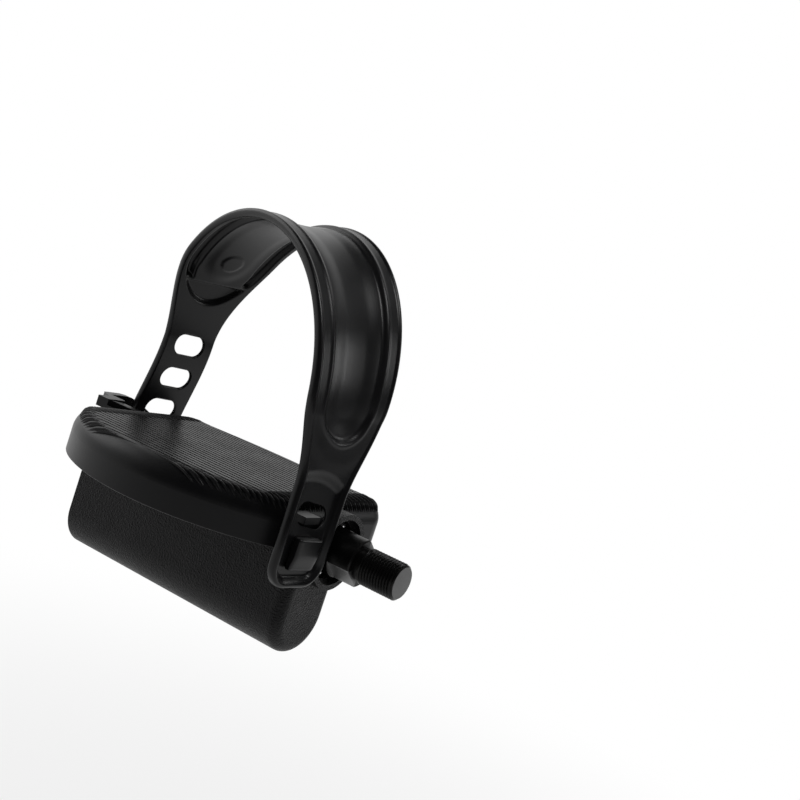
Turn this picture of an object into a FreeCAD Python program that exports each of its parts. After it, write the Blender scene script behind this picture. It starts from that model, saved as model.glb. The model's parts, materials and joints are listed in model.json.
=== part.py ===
"""Exercise bike pedal for the right crank: weighted footplate, toe strap and ball-bearing spindle.

The origin is on the spindle's axis, where the crank thread starts beside the collar's shoulder.
+X runs out along the crank thread, +Z is up and -Y is the side where the plate overhangs most.
All sizes are in millimetres.
"""
import FreeCAD, Part
import math
import os
from types import SimpleNamespace

import Sketcher

SIZES = {
    # footplate, measured from the middle of its length, on the spindle's axis
    "plate_reach": 18.4, "plate_half_length": 56.2, "plate_front": 58.7, "plate_back": 42.0,
    "front_radius": 70.0, "back_radius": 260.0, "corner_round": 11.0, "skirt_bottom": 0.3,
    "plate_top": 17.6, "rim_round": 8.5, "skirt_wall": 2.6, "top_wall": 3.0, "inner_round": 5.5,
    "rib_pitch": 3.2, "groove_width": 1.5, "groove_depth": 1.2, "groove_front": -49.8, "groove_count": 26,
    "groove_inset": 12.2,
    # strap loop at the outer end, and the hooks that hold the strap
    "loop_bottom": 5.2, "loop_height": 4.4, "loop_bar": 4.2, "loop_gap": 2.2, "loop_side_gap": 1.2,
    "loop_arm": 4.8, "arm_root": 7.0, "wing_reach": 19.0, "wing_top": 19.4,
    "wing_width": 12.8, "wing_tip": 6.0, "wing_root": 8.0, "root_drop": 2.6, "slot_past": 9.0, "loop_corner": 2.5, "hook_width": 11.4,
    "hook_height": 2.6, "hook_past": 2.2, "hook_root": 3.0, "catch_width": 9.0,
    # lower housing: base plate, bearing tube and weight pod
    "base_recess": 0.8, "base_thickness": 2.5, "base_gap": 0.3, "tube_radius": 15.2, "tube_mouth": 4.9,
    "tube_outer_radius": 11.6, "pod_front": 18.7, "pod_back": 11.4, "pod_bottom": 43.0,
    "pod_past": 0.6, "pod_end_round": 4.5, "end_wall": 2.6, "notch_gap": 0.3, "tunnel_radius": 7.7,
    # bearings
    "inner_ball": 3.969, "inner_ball_count": 11, "inner_pitch_radius": 9.8, "inner_ball_place": -19.5,
    "outer_ball": 3.175, "outer_ball_count": 10, "outer_pitch_radius": 6.1, "outer_ball_depth": 14.3,
    "ball_gap": 0.05, "cup_wall": 1.2, "cup_floor": 1.4, "cup_lip": 1.0, "press_gap": 0.02,
    # spindle and the small parts on its tail
    "thread_radius": 7.144, "thread_length": 15.5, "neck_length": 2.5, "neck_radius": 6.2,
    "collar_radius": 9.3, "wrench_flats": 15.0, "wrench_length": 9.8, "wrench_turn": 38.0,
    "thread_chamfer": 1.0, "shaft_radius": 5.6, "tail_radius": 3.0, "tail_past": 1.2, "cone_length": 5.0,
    "cone_collar": 5.6, "cone_nose": 2.2, "thread_gap": 0.03, "washer_thickness": 1.0, "washer_radius": 5.2,
    "nut_flats": 10.0, "nut_height": 4.0,
    # counterweight and end cap
    "weight_length": 88.0, "weight_half": 8.4, "weight_gap": 0.3, "weight_top": -17.5, "weight_recess": 3.6,
    "cap_centre": -3.2, "cap_half": 12.2, "cap_top": 9.4, "cap_bottom": -41.4, "cap_thickness": 1.8,
    "cap_edge": 1.2, "cap_rim": 2.8, "cap_rim_wall": 1.5, "cap_rim_inset": 1.8, "cap_gap": 0.2,
    # screws between the lower housing and the footplate
    "screw_inset": 18.2, "screw_front": -31.0, "screw_back": 25.0, "screw_radius": 1.5, "screw_gap": 0.2,
    "head_radius": 2.9, "head_height": 1.5, "screw_length": 9.0, "boss_radius": 4.2, "pilot_past": 1.0,
    # strap
    "strap_thickness": 2.6, "strap_lip": 0.9, "strap_lip_width": 1.8, "strap_top": 112.5,
    "strap_shoulder": 51.0, "strap_outer_gap": 6.4, "strap_inner_gap": 6.0, "strap_outer_y": 20.6,
    "strap_inner_y": -28.4, "outer_tail": -46.0, "inner_tail": -11.5, "outer_half": 14.0, "pad_half": 22.0,
    "inner_half": 14.0, "outer_lean": 7.0, "inner_lean": 4.4, "inner_sway": 6.7, "leg_turn": 5.0,
    "top_turn": 17.0, "outer_roll": -4.0, "top_roll": 6.0, "pad_low": 23.0, "pad_high": 57.0,
    "slot_length": 16.5, "slot_height": 9.0, "slot_pitch": 15.2, "outer_slot": 2.4, "inner_slot": 15.0,
    "lug_width": 16.5, "lug_height": 9.0, "lug_depth": 2.6, "outer_lug": -30.0, "inner_lug": 0.5,
}
SLOTS_ABOVE_HOOK = 3
SLOTS_BELOW_HOOK = 1
FULL_TURN = 360.0
WING_STEPS = 8  # straight pieces in the climb of the loop's bar
PAD_SWELL = 40.0  # degrees of the arch over which the outer leg widens into the pad
TAIL_ROUNDING = ((0.0, 0.62), (2.0, 0.86), (5.0, 0.97))  # height above a tail's end, share of its width

doc = FreeCAD.newDocument("exercise_bike_pedal")
sheet = doc.addObject("Spreadsheet::Sheet", "Sizes")
for row, (alias, number) in enumerate(SIZES.items(), start=1):
    sheet.set(f"A{row}", alias)
    sheet.set(f"B{row}", str(number))
    sheet.setAlias(f"B{row}", alias)
doc.recompute()


class Size:
    """A length with its value and the formula, in the sheet's cells, that it comes from."""

    def __init__(self, value, text):
        self.value = value
        self.text = text

    def __add__(self, other):
        other = as_size(other)
        return Size(self.value + other.value, f"({self.text} + {other.text})")

    def __sub__(self, other):
        other = as_size(other)
        return Size(self.value - other.value, f"({self.text} - {other.text})")

    def __mul__(self, other):
        other = as_size(other)
        return Size(self.value * other.value, f"({self.text} * {other.text})")

    def __truediv__(self, other):
        other = as_size(other)
        return Size(self.value / other.value, f"({self.text} / {other.text})")

    def __neg__(self):
        return Size(-self.value, f"(-1 * {self.text})")


def as_size(number):
    """A plain number as a Size; a Size stays as it is."""
    if isinstance(number, Size):
        return number
    return Size(float(number), f"({number})")


mm = SimpleNamespace(**{name: Size(float(sheet.get(name)), f"Sizes.{name}") for name in SIZES})
NOTHING = as_size(0)
plate_offset = mm.plate_reach + mm.plate_half_length
outer_ball_place = mm.outer_ball_depth - mm.plate_half_length - plate_offset
pod_inner_end = mm.plate_half_length + mm.pod_past
screw_x = mm.plate_half_length - mm.screw_inset
strap_outer_x = -mm.plate_half_length - mm.strap_outer_gap
strap_inner_x = mm.plate_half_length + mm.strap_inner_gap


def new_body(label, at_plate=False):
    """Empty body; at_plate sets its frame at the middle of the footplate, on the spindle's axis."""
    body = doc.addObject("PartDesign::Body", label)
    body.Label = label
    if at_plate:
        body.setExpression("Placement.Base.x", (-plate_offset).text)
    return body


def new_sketch(body, plane, offset=NOTHING):
    """Sketch on one of the body's own origin planes, moved along the plane's normal by offset."""
    sketch = body.newObject("Sketcher::SketchObject", f"{body.Label}_sketch")
    support = next(item for item in body.Origin.OriginFeatures if item.Role == plane)
    sketch.AttachmentSupport = [(support, "")]
    sketch.MapMode = "FlatFace"
    sketch.setExpression("AttachmentOffset.Base.z", offset.text)
    return sketch


def pin_down(sketch, curve, end, x, y):
    """Fix one end of a sketch curve at two sizes from the sketch's origin."""
    for kind, axis, place in (("DistanceX", -2, x), ("DistanceY", -1, y)):
        place = as_size(place)
        if place.text == NOTHING.text:
            sketch.addConstraint(Sketcher.Constraint("PointOnObject", curve, end, axis))
            continue
        index = sketch.addConstraint(Sketcher.Constraint(kind, -1, 1, curve, end, place.value))
        sketch.setExpression(f"Constraints[{index}]", place.text)


def draw_polygon(sketch, points):
    """Closed outline of straight lines through points given as pairs of sizes."""
    corners = [FreeCAD.Vector(as_size(x).value, as_size(y).value, 0) for x, y in points]
    first = sketch.GeometryCount
    for index, corner in enumerate(corners):
        sketch.addGeometry(Part.LineSegment(corner, corners[(index + 1) % len(corners)]))
    for index, (x, y) in enumerate(points):
        following = first + (index + 1) % len(points)
        sketch.addConstraint(Sketcher.Constraint("Coincident", first + index, 2, following, 1))
        pin_down(sketch, first + index, 1, x, y)
    return sketch


def draw_rectangle(sketch, x0, y0, x1, y1):
    """Closed rectangle between two corners."""
    return draw_polygon(sketch, [(x0, y0), (x1, y0), (x1, y1), (x0, y1)])


def draw_circle(sketch, x, y, radius):
    """Circle about a point."""
    centre = FreeCAD.Vector(as_size(x).value, as_size(y).value, 0)
    curve = sketch.addGeometry(Part.Circle(centre, FreeCAD.Vector(0, 0, 1), radius.value))
    pin_down(sketch, curve, 3, x, y)
    index = sketch.addConstraint(Sketcher.Constraint("Radius", curve, radius.value))
    sketch.setExpression(f"Constraints[{index}]", radius.text)
    return sketch


def draw_pocket_shape(sketch, centre, half, bottom, top, round_top):
    """Upright outline with a half-round foot, and a flat or half-round head.

    The straight sides stand at centre - half and centre + half.
    """
    left, right = centre - half, centre + half
    low = bottom + half
    high = top - half if round_top else top
    left_line = sketch.addGeometry(Part.LineSegment(
        FreeCAD.Vector(left.value, high.value, 0), FreeCAD.Vector(left.value, low.value, 0)))
    foot = sketch.addGeometry(Part.ArcOfCircle(Part.Circle(
        FreeCAD.Vector(centre.value, low.value, 0), FreeCAD.Vector(0, 0, 1), half.value), math.pi, 2 * math.pi))
    right_line = sketch.addGeometry(Part.LineSegment(
        FreeCAD.Vector(right.value, low.value, 0), FreeCAD.Vector(right.value, high.value, 0)))
    sketch.addConstraint(Sketcher.Constraint("Coincident", left_line, 2, foot, 1))
    sketch.addConstraint(Sketcher.Constraint("Coincident", foot, 2, right_line, 1))
    if round_top:
        head = sketch.addGeometry(Part.ArcOfCircle(Part.Circle(
            FreeCAD.Vector(centre.value, high.value, 0), FreeCAD.Vector(0, 0, 1), half.value), 0, math.pi))
        index = sketch.addConstraint(Sketcher.Constraint("DistanceY", -1, 1, head, 3, high.value))
        sketch.setExpression(f"Constraints[{index}]", high.text)
    else:
        head = sketch.addGeometry(Part.LineSegment(
            FreeCAD.Vector(right.value, high.value, 0), FreeCAD.Vector(left.value, high.value, 0)))
    sketch.addConstraint(Sketcher.Constraint("Coincident", right_line, 2, head, 1))
    sketch.addConstraint(Sketcher.Constraint("Coincident", head, 2, left_line, 1))
    pin_down(sketch, left_line, 1, left, high)
    pin_down(sketch, left_line, 2, left, low)
    pin_down(sketch, right_line, 1, right, low)
    pin_down(sketch, right_line, 2, right, high)
    index = sketch.addConstraint(Sketcher.Constraint("DistanceY", -1, 1, foot, 3, low.value))
    sketch.setExpression(f"Constraints[{index}]", low.text)
    return sketch


def draw_plate(sketch, inset):
    """Plan of the footplate, drawn in from its edge by inset: straight ends, bowed front and back."""
    reach = mm.plate_half_length - inset
    front_radius = mm.front_radius - inset
    back_radius = mm.back_radius - inset
    front_centre = mm.front_radius - mm.plate_front
    back_centre = mm.plate_back - mm.back_radius
    front_end = front_centre.value - math.sqrt(front_radius.value ** 2 - reach.value ** 2)
    back_end = back_centre.value + math.sqrt(back_radius.value ** 2 - reach.value ** 2)
    half_front = math.asin(reach.value / front_radius.value)
    half_back = math.asin(reach.value / back_radius.value)
    quarter = math.pi / 2
    up = FreeCAD.Vector(0, 0, 1)
    front = sketch.addGeometry(Part.ArcOfCircle(
        Part.Circle(FreeCAD.Vector(0, front_centre.value, 0), up, front_radius.value),
        3 * quarter - half_front, 3 * quarter + half_front))
    inner_end = sketch.addGeometry(Part.LineSegment(
        FreeCAD.Vector(reach.value, front_end, 0), FreeCAD.Vector(reach.value, back_end, 0)))
    back = sketch.addGeometry(Part.ArcOfCircle(
        Part.Circle(FreeCAD.Vector(0, back_centre.value, 0), up, back_radius.value),
        quarter - half_back, quarter + half_back))
    outer_end = sketch.addGeometry(Part.LineSegment(
        FreeCAD.Vector(-reach.value, back_end, 0), FreeCAD.Vector(-reach.value, front_end, 0)))
    ring = (front, inner_end, back, outer_end)
    for index, curve in enumerate(ring):
        sketch.addConstraint(Sketcher.Constraint("Coincident", curve, 2, ring[(index + 1) % 4], 1))
    for curve, centre, radius in ((front, front_centre, front_radius), (back, back_centre, back_radius)):
        pin_down(sketch, curve, 3, 0, centre)
        index = sketch.addConstraint(Sketcher.Constraint("Radius", curve, radius.value))
        sketch.setExpression(f"Constraints[{index}]", radius.text)
    for curve, place in ((inner_end, reach), (outer_end, -reach)):
        sketch.addConstraint(Sketcher.Constraint("Vertical", curve))
        index = sketch.addConstraint(Sketcher.Constraint("DistanceX", -1, 1, curve, 1, place.value))
        sketch.setExpression(f"Constraints[{index}]", place.text)
    return sketch


def pad(body, sketch, length, backwards=False):
    """Raise a sketch along its normal, or against it."""
    feature = body.newObject("PartDesign::Pad", f"{body.Label}_pad")
    feature.Profile = sketch
    feature.setExpression("Length", length.text)
    feature.Reversed = backwards
    doc.recompute()
    return feature


def pocket(body, sketch, length, along_normal=True):
    """Cut a sketch into the body, along its normal or against it, and check that it cuts."""
    before = body.Shape.Volume
    feature = body.newObject("PartDesign::Pocket", f"{body.Label}_pocket")
    feature.Profile = sketch
    feature.setExpression("Length", length.text)
    feature.Reversed = along_normal
    doc.recompute()
    if body.Shape.Volume >= before:
        raise ValueError(f"a pocket of {body.Label} cuts nothing")
    return feature


def turn(body, sketch):
    """Revolve a sketch about the spindle's axis."""
    feature = body.newObject("PartDesign::Revolution", f"{body.Label}_turned")
    feature.Profile = sketch
    feature.ReferenceAxis = (sketch, ["H_Axis"])
    feature.Angle = FULL_TURN
    doc.recompute()
    return feature


def turn_away(body, sketch):
    """Cut a sketch away all round the spindle's axis, and check that it cuts."""
    before = body.Shape.Volume
    feature = body.newObject("PartDesign::Groove", f"{body.Label}_groove")
    feature.Profile = sketch
    feature.ReferenceAxis = (sketch, ["H_Axis"])
    feature.Angle = FULL_TURN
    doc.recompute()
    if body.Shape.Volume >= before:
        raise ValueError(f"a groove of {body.Label} cuts nothing")
    return feature


def round_edges(body, base, radius, wanted):
    """Fillet the edges of a feature that the wanted test picks."""
    names = [f"Edge{index}" for index, edge in enumerate(base.Shape.Edges, start=1) if wanted(edge)]
    feature = body.newObject("PartDesign::Fillet", f"{body.Label}_round")
    feature.Base = (base, names)
    feature.setExpression("Radius", radius.text)
    doc.recompute()
    return feature


def is_upright(edge):
    """True for a straight edge that runs along Z."""
    box = edge.BoundBox
    return box.XLength + box.YLength < 0.001 < box.ZLength


def lies_at(edge, axis, place):
    """True for an edge that lies wholly in the plane where one coordinate equals place."""
    box = edge.BoundBox
    low, high = {"x": (box.XMin, box.XMax), "y": (box.YMin, box.YMax), "z": (box.ZMin, box.ZMax)}[axis]
    return abs(low - place.value) + abs(high - place.value) < 0.001


def eased(low, high, at):
    """Smooth step from 0 at low to 1 at high."""
    share = min(max((at - low) / (high - low), 0.0), 1.0)
    return share * share * (3.0 - 2.0 * share)


# footplate
outer_face = -mm.plate_half_length
tail_face = mm.strap_thickness / 2 + mm.strap_lip
loop_inner_face = strap_outer_x - tail_face - mm.loop_gap
loop_outer_face = loop_inner_face - mm.loop_bar
loop_top = mm.loop_bottom + mm.loop_height
loop_front = mm.strap_outer_y - mm.outer_half - mm.loop_side_gap
loop_back = mm.strap_outer_y + mm.outer_half + mm.loop_side_gap
end_wall_top = mm.tube_outer_radius
tube_way = mm.plate_half_length - mm.skirt_wall * 3


def build_hollow():
    """Space under the footplate, in the footplate's own frame, with rounded corners and roof."""
    body = new_body("hollow")
    floor = mm.skirt_bottom - mm.skirt_wall
    space = pad(body, draw_plate(new_sketch(body, "XY_Plane", floor), mm.skirt_wall),
                mm.plate_top - mm.top_wall - floor)
    corners = round_edges(body, space, mm.corner_round - mm.skirt_wall, is_upright)
    round_edges(body, corners, mm.inner_round, lambda edge: lies_at(edge, "z", mm.plate_top - mm.top_wall))
    return body


def build_footplate():
    """Ribbed top moulding with its skirt, strap loop, hooks and screw bosses."""
    body = new_body("footplate", at_plate=True)
    height = mm.plate_top - mm.skirt_bottom
    block = pad(body, draw_plate(new_sketch(body, "XY_Plane", mm.skirt_bottom), NOTHING), height)
    corners = round_edges(body, block, mm.corner_round, is_upright)
    round_edges(body, corners, mm.rim_round, lambda edge: lies_at(edge, "z", mm.plate_top))
    hollow = body.newObject("PartDesign::Boolean", "footplate_hollow")
    hollow.Type = "Cut"
    hollow.setObjects([build_hollow()])
    doc.recompute()
    # tread: straight grooves along the spindle, the front ones running out through the rounded rim
    above = mm.plate_top + mm.groove_depth
    reach = mm.plate_half_length - mm.groove_inset
    groove = pocket(body, draw_rectangle(new_sketch(body, "XY_Plane", above), -reach, mm.groove_front,
                                         reach, mm.groove_front + mm.groove_width),
                    mm.groove_depth * 2, along_normal=False)
    tread = body.newObject("PartDesign::LinearPattern", "footplate_tread")
    tread.Originals = [groove]
    tread.Direction = (next(item for item in body.Origin.OriginFeatures if item.Role == "Y_Axis"), [""])
    tread.setExpression("Length", (mm.rib_pitch * (mm.groove_count - 1)).text)
    tread.setExpression("Occurrences", mm.groove_count.text)
    body.Tip = tread
    doc.recompute()
    # screw bosses down to the base plate of the lower housing
    boss_foot = mm.skirt_bottom + mm.base_recess + mm.base_thickness
    bosses = new_sketch(body, "XY_Plane", boss_foot)
    pilots = new_sketch(body, "XY_Plane", boss_foot)
    for x in (-screw_x, screw_x):
        for y in (mm.screw_front, mm.screw_back):
            draw_circle(bosses, x, y, mm.boss_radius)
            draw_circle(pilots, x, y, mm.screw_radius + mm.screw_gap)
    pad(body, bosses, mm.plate_top - mm.top_wall - boss_foot)
    pocket(body, pilots, mm.screw_length - mm.base_thickness + mm.pilot_past)
    # ways through the end walls for the bearing tube and for the ends of the pod
    pocket(body, draw_circle(new_sketch(body, "YZ_Plane", tube_way), 0, 0, mm.tube_radius + mm.notch_gap),
           mm.skirt_wall * 4)
    pocket(body, draw_rectangle(new_sketch(body, "YZ_Plane", tube_way), -mm.pod_front - mm.notch_gap,
                                -mm.skirt_wall, mm.pod_back + mm.notch_gap, boss_foot + mm.notch_gap),
           mm.skirt_wall * 4)
    pocket(body, draw_rectangle(new_sketch(body, "YZ_Plane", outer_face - mm.skirt_wall),
                                -mm.pod_front - mm.notch_gap, -mm.skirt_wall,
                                mm.tube_outer_radius + mm.notch_gap, end_wall_top + mm.notch_gap),
           mm.skirt_wall * 3)
    # strap loop: a rear arm, and a bar that climbs to a wing on the rim
    wing_front = loop_front - mm.wing_reach
    wing_back = loop_front - mm.slot_past
    wing_bottom = mm.wing_top - mm.loop_height
    wing_inner_face = loop_outer_face + mm.wing_width
    rise = mm.wing_top - loop_top
    climb = [(loop_back + (loop_front - loop_back) * (step / WING_STEPS), rise * eased(0, WING_STEPS, step))
             for step in range(WING_STEPS + 1)]
    upper = [(y, loop_top + up) for y, up in climb]
    lower = [(y, mm.loop_bottom + up) for y, up in climb]
    bar = new_sketch(body, "YZ_Plane", loop_outer_face)
    draw_polygon(bar, [(loop_back + mm.loop_arm, mm.loop_bottom), (loop_back + mm.loop_arm, loop_top)] + upper
                 + [(wing_front, mm.wing_top), (wing_front, wing_bottom)] + lower[::-1])
    pad(body, bar, mm.loop_bar)
    arm = new_sketch(body, "XY_Plane", mm.loop_bottom)
    draw_rectangle(arm, loop_inner_face, loop_back, outer_face + mm.arm_root, loop_back + mm.loop_arm)
    pad(body, arm, mm.loop_height)
    wing = new_sketch(body, "YZ_Plane", loop_inner_face)
    draw_rectangle(wing, wing_front, wing_bottom, wing_back, mm.wing_top)
    pad(body, wing, mm.wing_width - mm.loop_bar)
    outside = new_sketch(body, "XY_Plane", mm.loop_bottom)
    draw_polygon(outside, [
        (loop_outer_face, wing_back), (wing_inner_face - mm.wing_tip, wing_front + mm.wing_tip),
        (wing_inner_face - mm.wing_tip, wing_front), (loop_outer_face, wing_front)])
    pocket(body, outside, mm.wing_top)
    root = new_sketch(body, "YZ_Plane", wing_inner_face)
    draw_rectangle(root, wing_front, wing_bottom - mm.root_drop, wing_back, mm.wing_top - mm.root_drop)
    rooted = pad(body, root, outer_face + mm.wing_root - wing_inner_face)
    round_edges(body, rooted, mm.loop_corner,
                lambda edge: is_upright(edge) and abs(edge.BoundBox.XMin - loop_outer_face.value) < 0.001
                and edge.BoundBox.YMin > loop_back.value)
    # hooks: one through the outer leg's slot, one through the inner leg's
    outer_hook = new_sketch(body, "YZ_Plane", strap_outer_x - tail_face - mm.hook_past)
    draw_rectangle(outer_hook, mm.strap_outer_y - mm.hook_width / 2, mm.outer_slot - mm.hook_height / 2,
                   mm.strap_outer_y + mm.hook_width / 2, mm.outer_slot + mm.hook_height / 2)
    pad(body, outer_hook, outer_face + mm.skirt_wall - strap_outer_x + tail_face + mm.hook_past)
    inner_hook = new_sketch(body, "YZ_Plane", mm.plate_half_length - mm.skirt_wall - mm.hook_root)
    inner_hook_bottom = mm.inner_slot - mm.slot_height / 2 + mm.slot_height / 6
    sway = eased(mm.skirt_bottom.value, mm.strap_shoulder.value, mm.inner_slot.value)
    inner_hook_y = mm.strap_inner_y + mm.inner_sway * sway
    draw_rectangle(inner_hook, inner_hook_y - mm.catch_width / 2, inner_hook_bottom,
                   inner_hook_y + mm.catch_width / 2, inner_hook_bottom + mm.hook_height)
    pad(body, inner_hook, strap_inner_x + mm.skirt_wall + mm.hook_root - mm.plate_half_length)
    return body


# lower housing
def cup_radius(pitch, ball):
    """Outer radius of a bearing cup."""
    return pitch + ball / 2 + mm.cup_wall


inner_cup_floor = mm.inner_ball_place - mm.inner_ball / 2 - mm.cup_floor
outer_cup_floor = outer_ball_place + mm.outer_ball / 2 + mm.cup_floor
tube_end = mm.plate_half_length + mm.tube_mouth


def build_lower_housing():
    """Base plate that closes the footplate, with the bearing tube and the pod for the weight."""
    body = new_body("lower_housing", at_plate=True)
    base_bottom = mm.skirt_bottom + mm.base_recess
    half = (mm.pod_front + mm.pod_back) / 2
    centre = (mm.pod_back - mm.pod_front) / 2
    pod_sketch = new_sketch(body, "YZ_Plane", outer_face)
    draw_pocket_shape(pod_sketch, centre, half, -mm.pod_bottom, base_bottom + mm.base_thickness, False)
    pod = pad(body, pod_sketch, mm.plate_half_length + pod_inner_end)
    round_edges(body, pod, mm.pod_end_round,
                lambda edge: lies_at(edge, "x", pod_inner_end) and edge.BoundBox.ZLength > 0.001)
    base = pad(body, draw_plate(new_sketch(body, "XY_Plane", base_bottom), mm.skirt_wall + mm.base_gap),
               mm.base_thickness)
    inside = mm.plate_half_length - mm.skirt_wall - mm.base_gap
    round_edges(body, base, mm.corner_round - mm.skirt_wall - mm.base_gap,
                lambda edge: is_upright(edge) and abs(abs(edge.BoundBox.XMin) - inside.value) < 0.001
                and abs(edge.BoundBox.YMin) > mm.pod_front.value + 1)
    end_wall = new_sketch(body, "YZ_Plane", outer_face)
    draw_rectangle(end_wall, -mm.pod_front, base_bottom, mm.tube_outer_radius, end_wall_top)
    pad(body, end_wall, mm.end_wall)
    pad(body, draw_circle(new_sketch(body, "YZ_Plane", outer_face), 0, 0, mm.tube_outer_radius),
        mm.plate_half_length + tube_end)
    pad(body, draw_circle(new_sketch(body, "YZ_Plane", tube_way + mm.notch_gap), 0, 0, mm.tube_radius),
        tube_end - tube_way - mm.notch_gap)
    # bores: a seat for each cup and a tunnel for the shaft between them
    inner_seat = cup_radius(mm.inner_pitch_radius, mm.inner_ball) + mm.press_gap
    outer_seat = cup_radius(mm.outer_pitch_radius, mm.outer_ball) + mm.press_gap
    seat_start = inner_cup_floor + plate_offset
    seat_end = outer_cup_floor + plate_offset
    pocket(body, draw_circle(new_sketch(body, "YZ_Plane", seat_start), 0, 0, inner_seat), tube_end - seat_start)
    pocket(body, draw_circle(new_sketch(body, "YZ_Plane", outer_face), 0, 0, outer_seat), seat_end - outer_face)
    pocket(body, draw_circle(new_sketch(body, "YZ_Plane", seat_end), 0, 0, mm.tunnel_radius),
           seat_start - seat_end)
    # seat for the end cap's rim, and the space for the weight behind it
    rim_half = mm.cap_half - mm.cap_rim_inset + mm.cap_gap
    rim_seat = new_sketch(body, "YZ_Plane", outer_face)
    draw_pocket_shape(rim_seat, mm.cap_centre, rim_half, mm.cap_bottom + mm.cap_rim_inset - mm.cap_gap,
                      mm.cap_top - mm.cap_rim_inset + mm.cap_gap, True)
    pocket(body, rim_seat, mm.cap_rim + mm.cap_gap)
    space = new_sketch(body, "YZ_Plane", outer_face)
    draw_pocket_shape(space, mm.cap_centre, mm.weight_half + mm.weight_gap, weight_bottom - mm.weight_gap,
                      mm.weight_top + mm.weight_gap, False)
    pocket(body, space, mm.weight_recess + mm.weight_length + mm.weight_gap)
    # screw holes
    holes = new_sketch(body, "XY_Plane", base_bottom)
    for x in (-screw_x, screw_x):
        for y in (mm.screw_front, mm.screw_back):
            draw_circle(holes, x, y, mm.screw_radius + mm.screw_gap)
    pocket(body, holes, mm.base_thickness)
    return body


weight_bottom = mm.cap_bottom + mm.cap_half - mm.weight_half


def build_counterweight():
    """Steel bar that lies in the pod and keeps the footplate upright."""
    body = new_body("counterweight", at_plate=True)
    sketch = new_sketch(body, "YZ_Plane", outer_face + mm.weight_recess)
    draw_pocket_shape(sketch, mm.cap_centre, mm.weight_half, weight_bottom, mm.weight_top, False)
    pad(body, sketch, mm.weight_length)
    return body


def build_end_cap():
    """Oval cover on the pod's outer end, with a rim that plugs into it."""
    body = new_body("end_cap", at_plate=True)
    face = new_sketch(body, "YZ_Plane", outer_face)
    draw_pocket_shape(face, mm.cap_centre, mm.cap_half, mm.cap_bottom, mm.cap_top, True)
    plate = pad(body, face, mm.cap_thickness, backwards=True)
    round_edges(body, plate, mm.cap_edge, lambda edge: lies_at(edge, "x", outer_face - mm.cap_thickness))
    rim = new_sketch(body, "YZ_Plane", outer_face)
    for inset in (mm.cap_rim_inset, mm.cap_rim_inset + mm.cap_rim_wall):
        draw_pocket_shape(rim, mm.cap_centre, mm.cap_half - inset, mm.cap_bottom + inset, mm.cap_top - inset, True)
    pad(body, rim, mm.cap_rim)
    return body


# spindle and bearings, in the part's own frame
shaft_end = outer_ball_place + mm.cone_nose + mm.cone_nose
cone_end = outer_ball_place - mm.cone_length
washer_end = cone_end - mm.washer_thickness
nut_end = washer_end - mm.nut_height
tail_end = nut_end - mm.tail_past


def build_spindle():
    """Turned steel spindle: crank thread, collar with wrench flats, ball race, tapered shaft, threaded tail."""
    body = new_body("spindle")
    race = mm.inner_pitch_radius - mm.inner_ball / 2
    end = mm.thread_length
    shoulder = -mm.neck_length
    profile = new_sketch(body, "XY_Plane")
    draw_polygon(profile, [
        (end, 0), (end, mm.thread_radius - mm.thread_chamfer), (end - mm.thread_chamfer, mm.thread_radius),
        (0, mm.thread_radius), (0, mm.neck_radius), (shoulder, mm.neck_radius),
        (shoulder, mm.collar_radius), (mm.inner_ball_place, mm.collar_radius), (mm.inner_ball_place, race),
        (mm.inner_ball_place - mm.inner_ball / 2, race), (mm.inner_ball_place - mm.inner_ball, mm.shaft_radius),
        (shaft_end + mm.inner_ball, mm.shaft_radius), (shaft_end, mm.tail_radius), (tail_end, mm.tail_radius),
        (tail_end, 0)])
    turn(body, profile)
    turn_away(body, draw_circle(new_sketch(body, "XY_Plane"), mm.inner_ball_place, mm.inner_pitch_radius,
                                mm.inner_ball / 2 + mm.ball_gap))
    turned = math.radians(mm.wrench_turn.value)
    for side in (1, -1):
        flat = new_sketch(body, "XY_Plane")
        flat.AttachmentOffset = FreeCAD.Placement(
            FreeCAD.Vector(0, 0, 0), FreeCAD.Rotation(FreeCAD.Vector(1, 0, 0), -mm.wrench_turn.value))
        flat.setExpression("AttachmentOffset.Base.y", (mm.wrench_flats / 2 * side * math.sin(turned)).text)
        flat.setExpression("AttachmentOffset.Base.z", (mm.wrench_flats / 2 * side * math.cos(turned)).text)
        draw_rectangle(flat, shoulder - mm.wrench_length, -mm.collar_radius, shoulder, mm.collar_radius)
        pocket(body, flat, mm.collar_radius, along_normal=side > 0)
    return body


def build_cup(label, place, pitch, ball, facing):
    """Pressed steel bearing cup with a ball track; facing is +1 where its mouth points along +X."""
    body = new_body(label)
    wall = pitch + ball / 2 + mm.ball_gap * 2
    bore = pitch - ball / 2 + mm.cup_lip
    floor = place - (ball / 2 + mm.cup_floor) * facing
    mouth = place + ball / 2 * facing
    outside = cup_radius(pitch, ball)
    profile = new_sketch(body, "XY_Plane")
    draw_polygon(profile, [(floor, bore), (floor, outside), (mouth, outside), (mouth, wall), (place, wall),
                           (place, bore)])
    turn(body, profile)
    turn_away(body, draw_circle(new_sketch(body, "XY_Plane"), place, pitch, ball / 2 + mm.ball_gap))
    return body


def build_adjusting_cone():
    """Threaded cone that closes the outer bearing."""
    body = new_body("adjusting_cone")
    race = mm.outer_pitch_radius - mm.outer_ball / 2
    bore = mm.tail_radius + mm.thread_gap
    nose = outer_ball_place + mm.cone_nose
    profile = new_sketch(body, "XY_Plane")
    draw_polygon(profile, [(cone_end, bore), (cone_end, mm.cone_collar), (outer_ball_place, mm.cone_collar),
                           (outer_ball_place, race), (nose, race), (nose, bore)])
    turn(body, profile)
    turn_away(body, draw_circle(new_sketch(body, "XY_Plane"), outer_ball_place, mm.outer_pitch_radius,
                                mm.outer_ball / 2 + mm.ball_gap))
    return body


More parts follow.
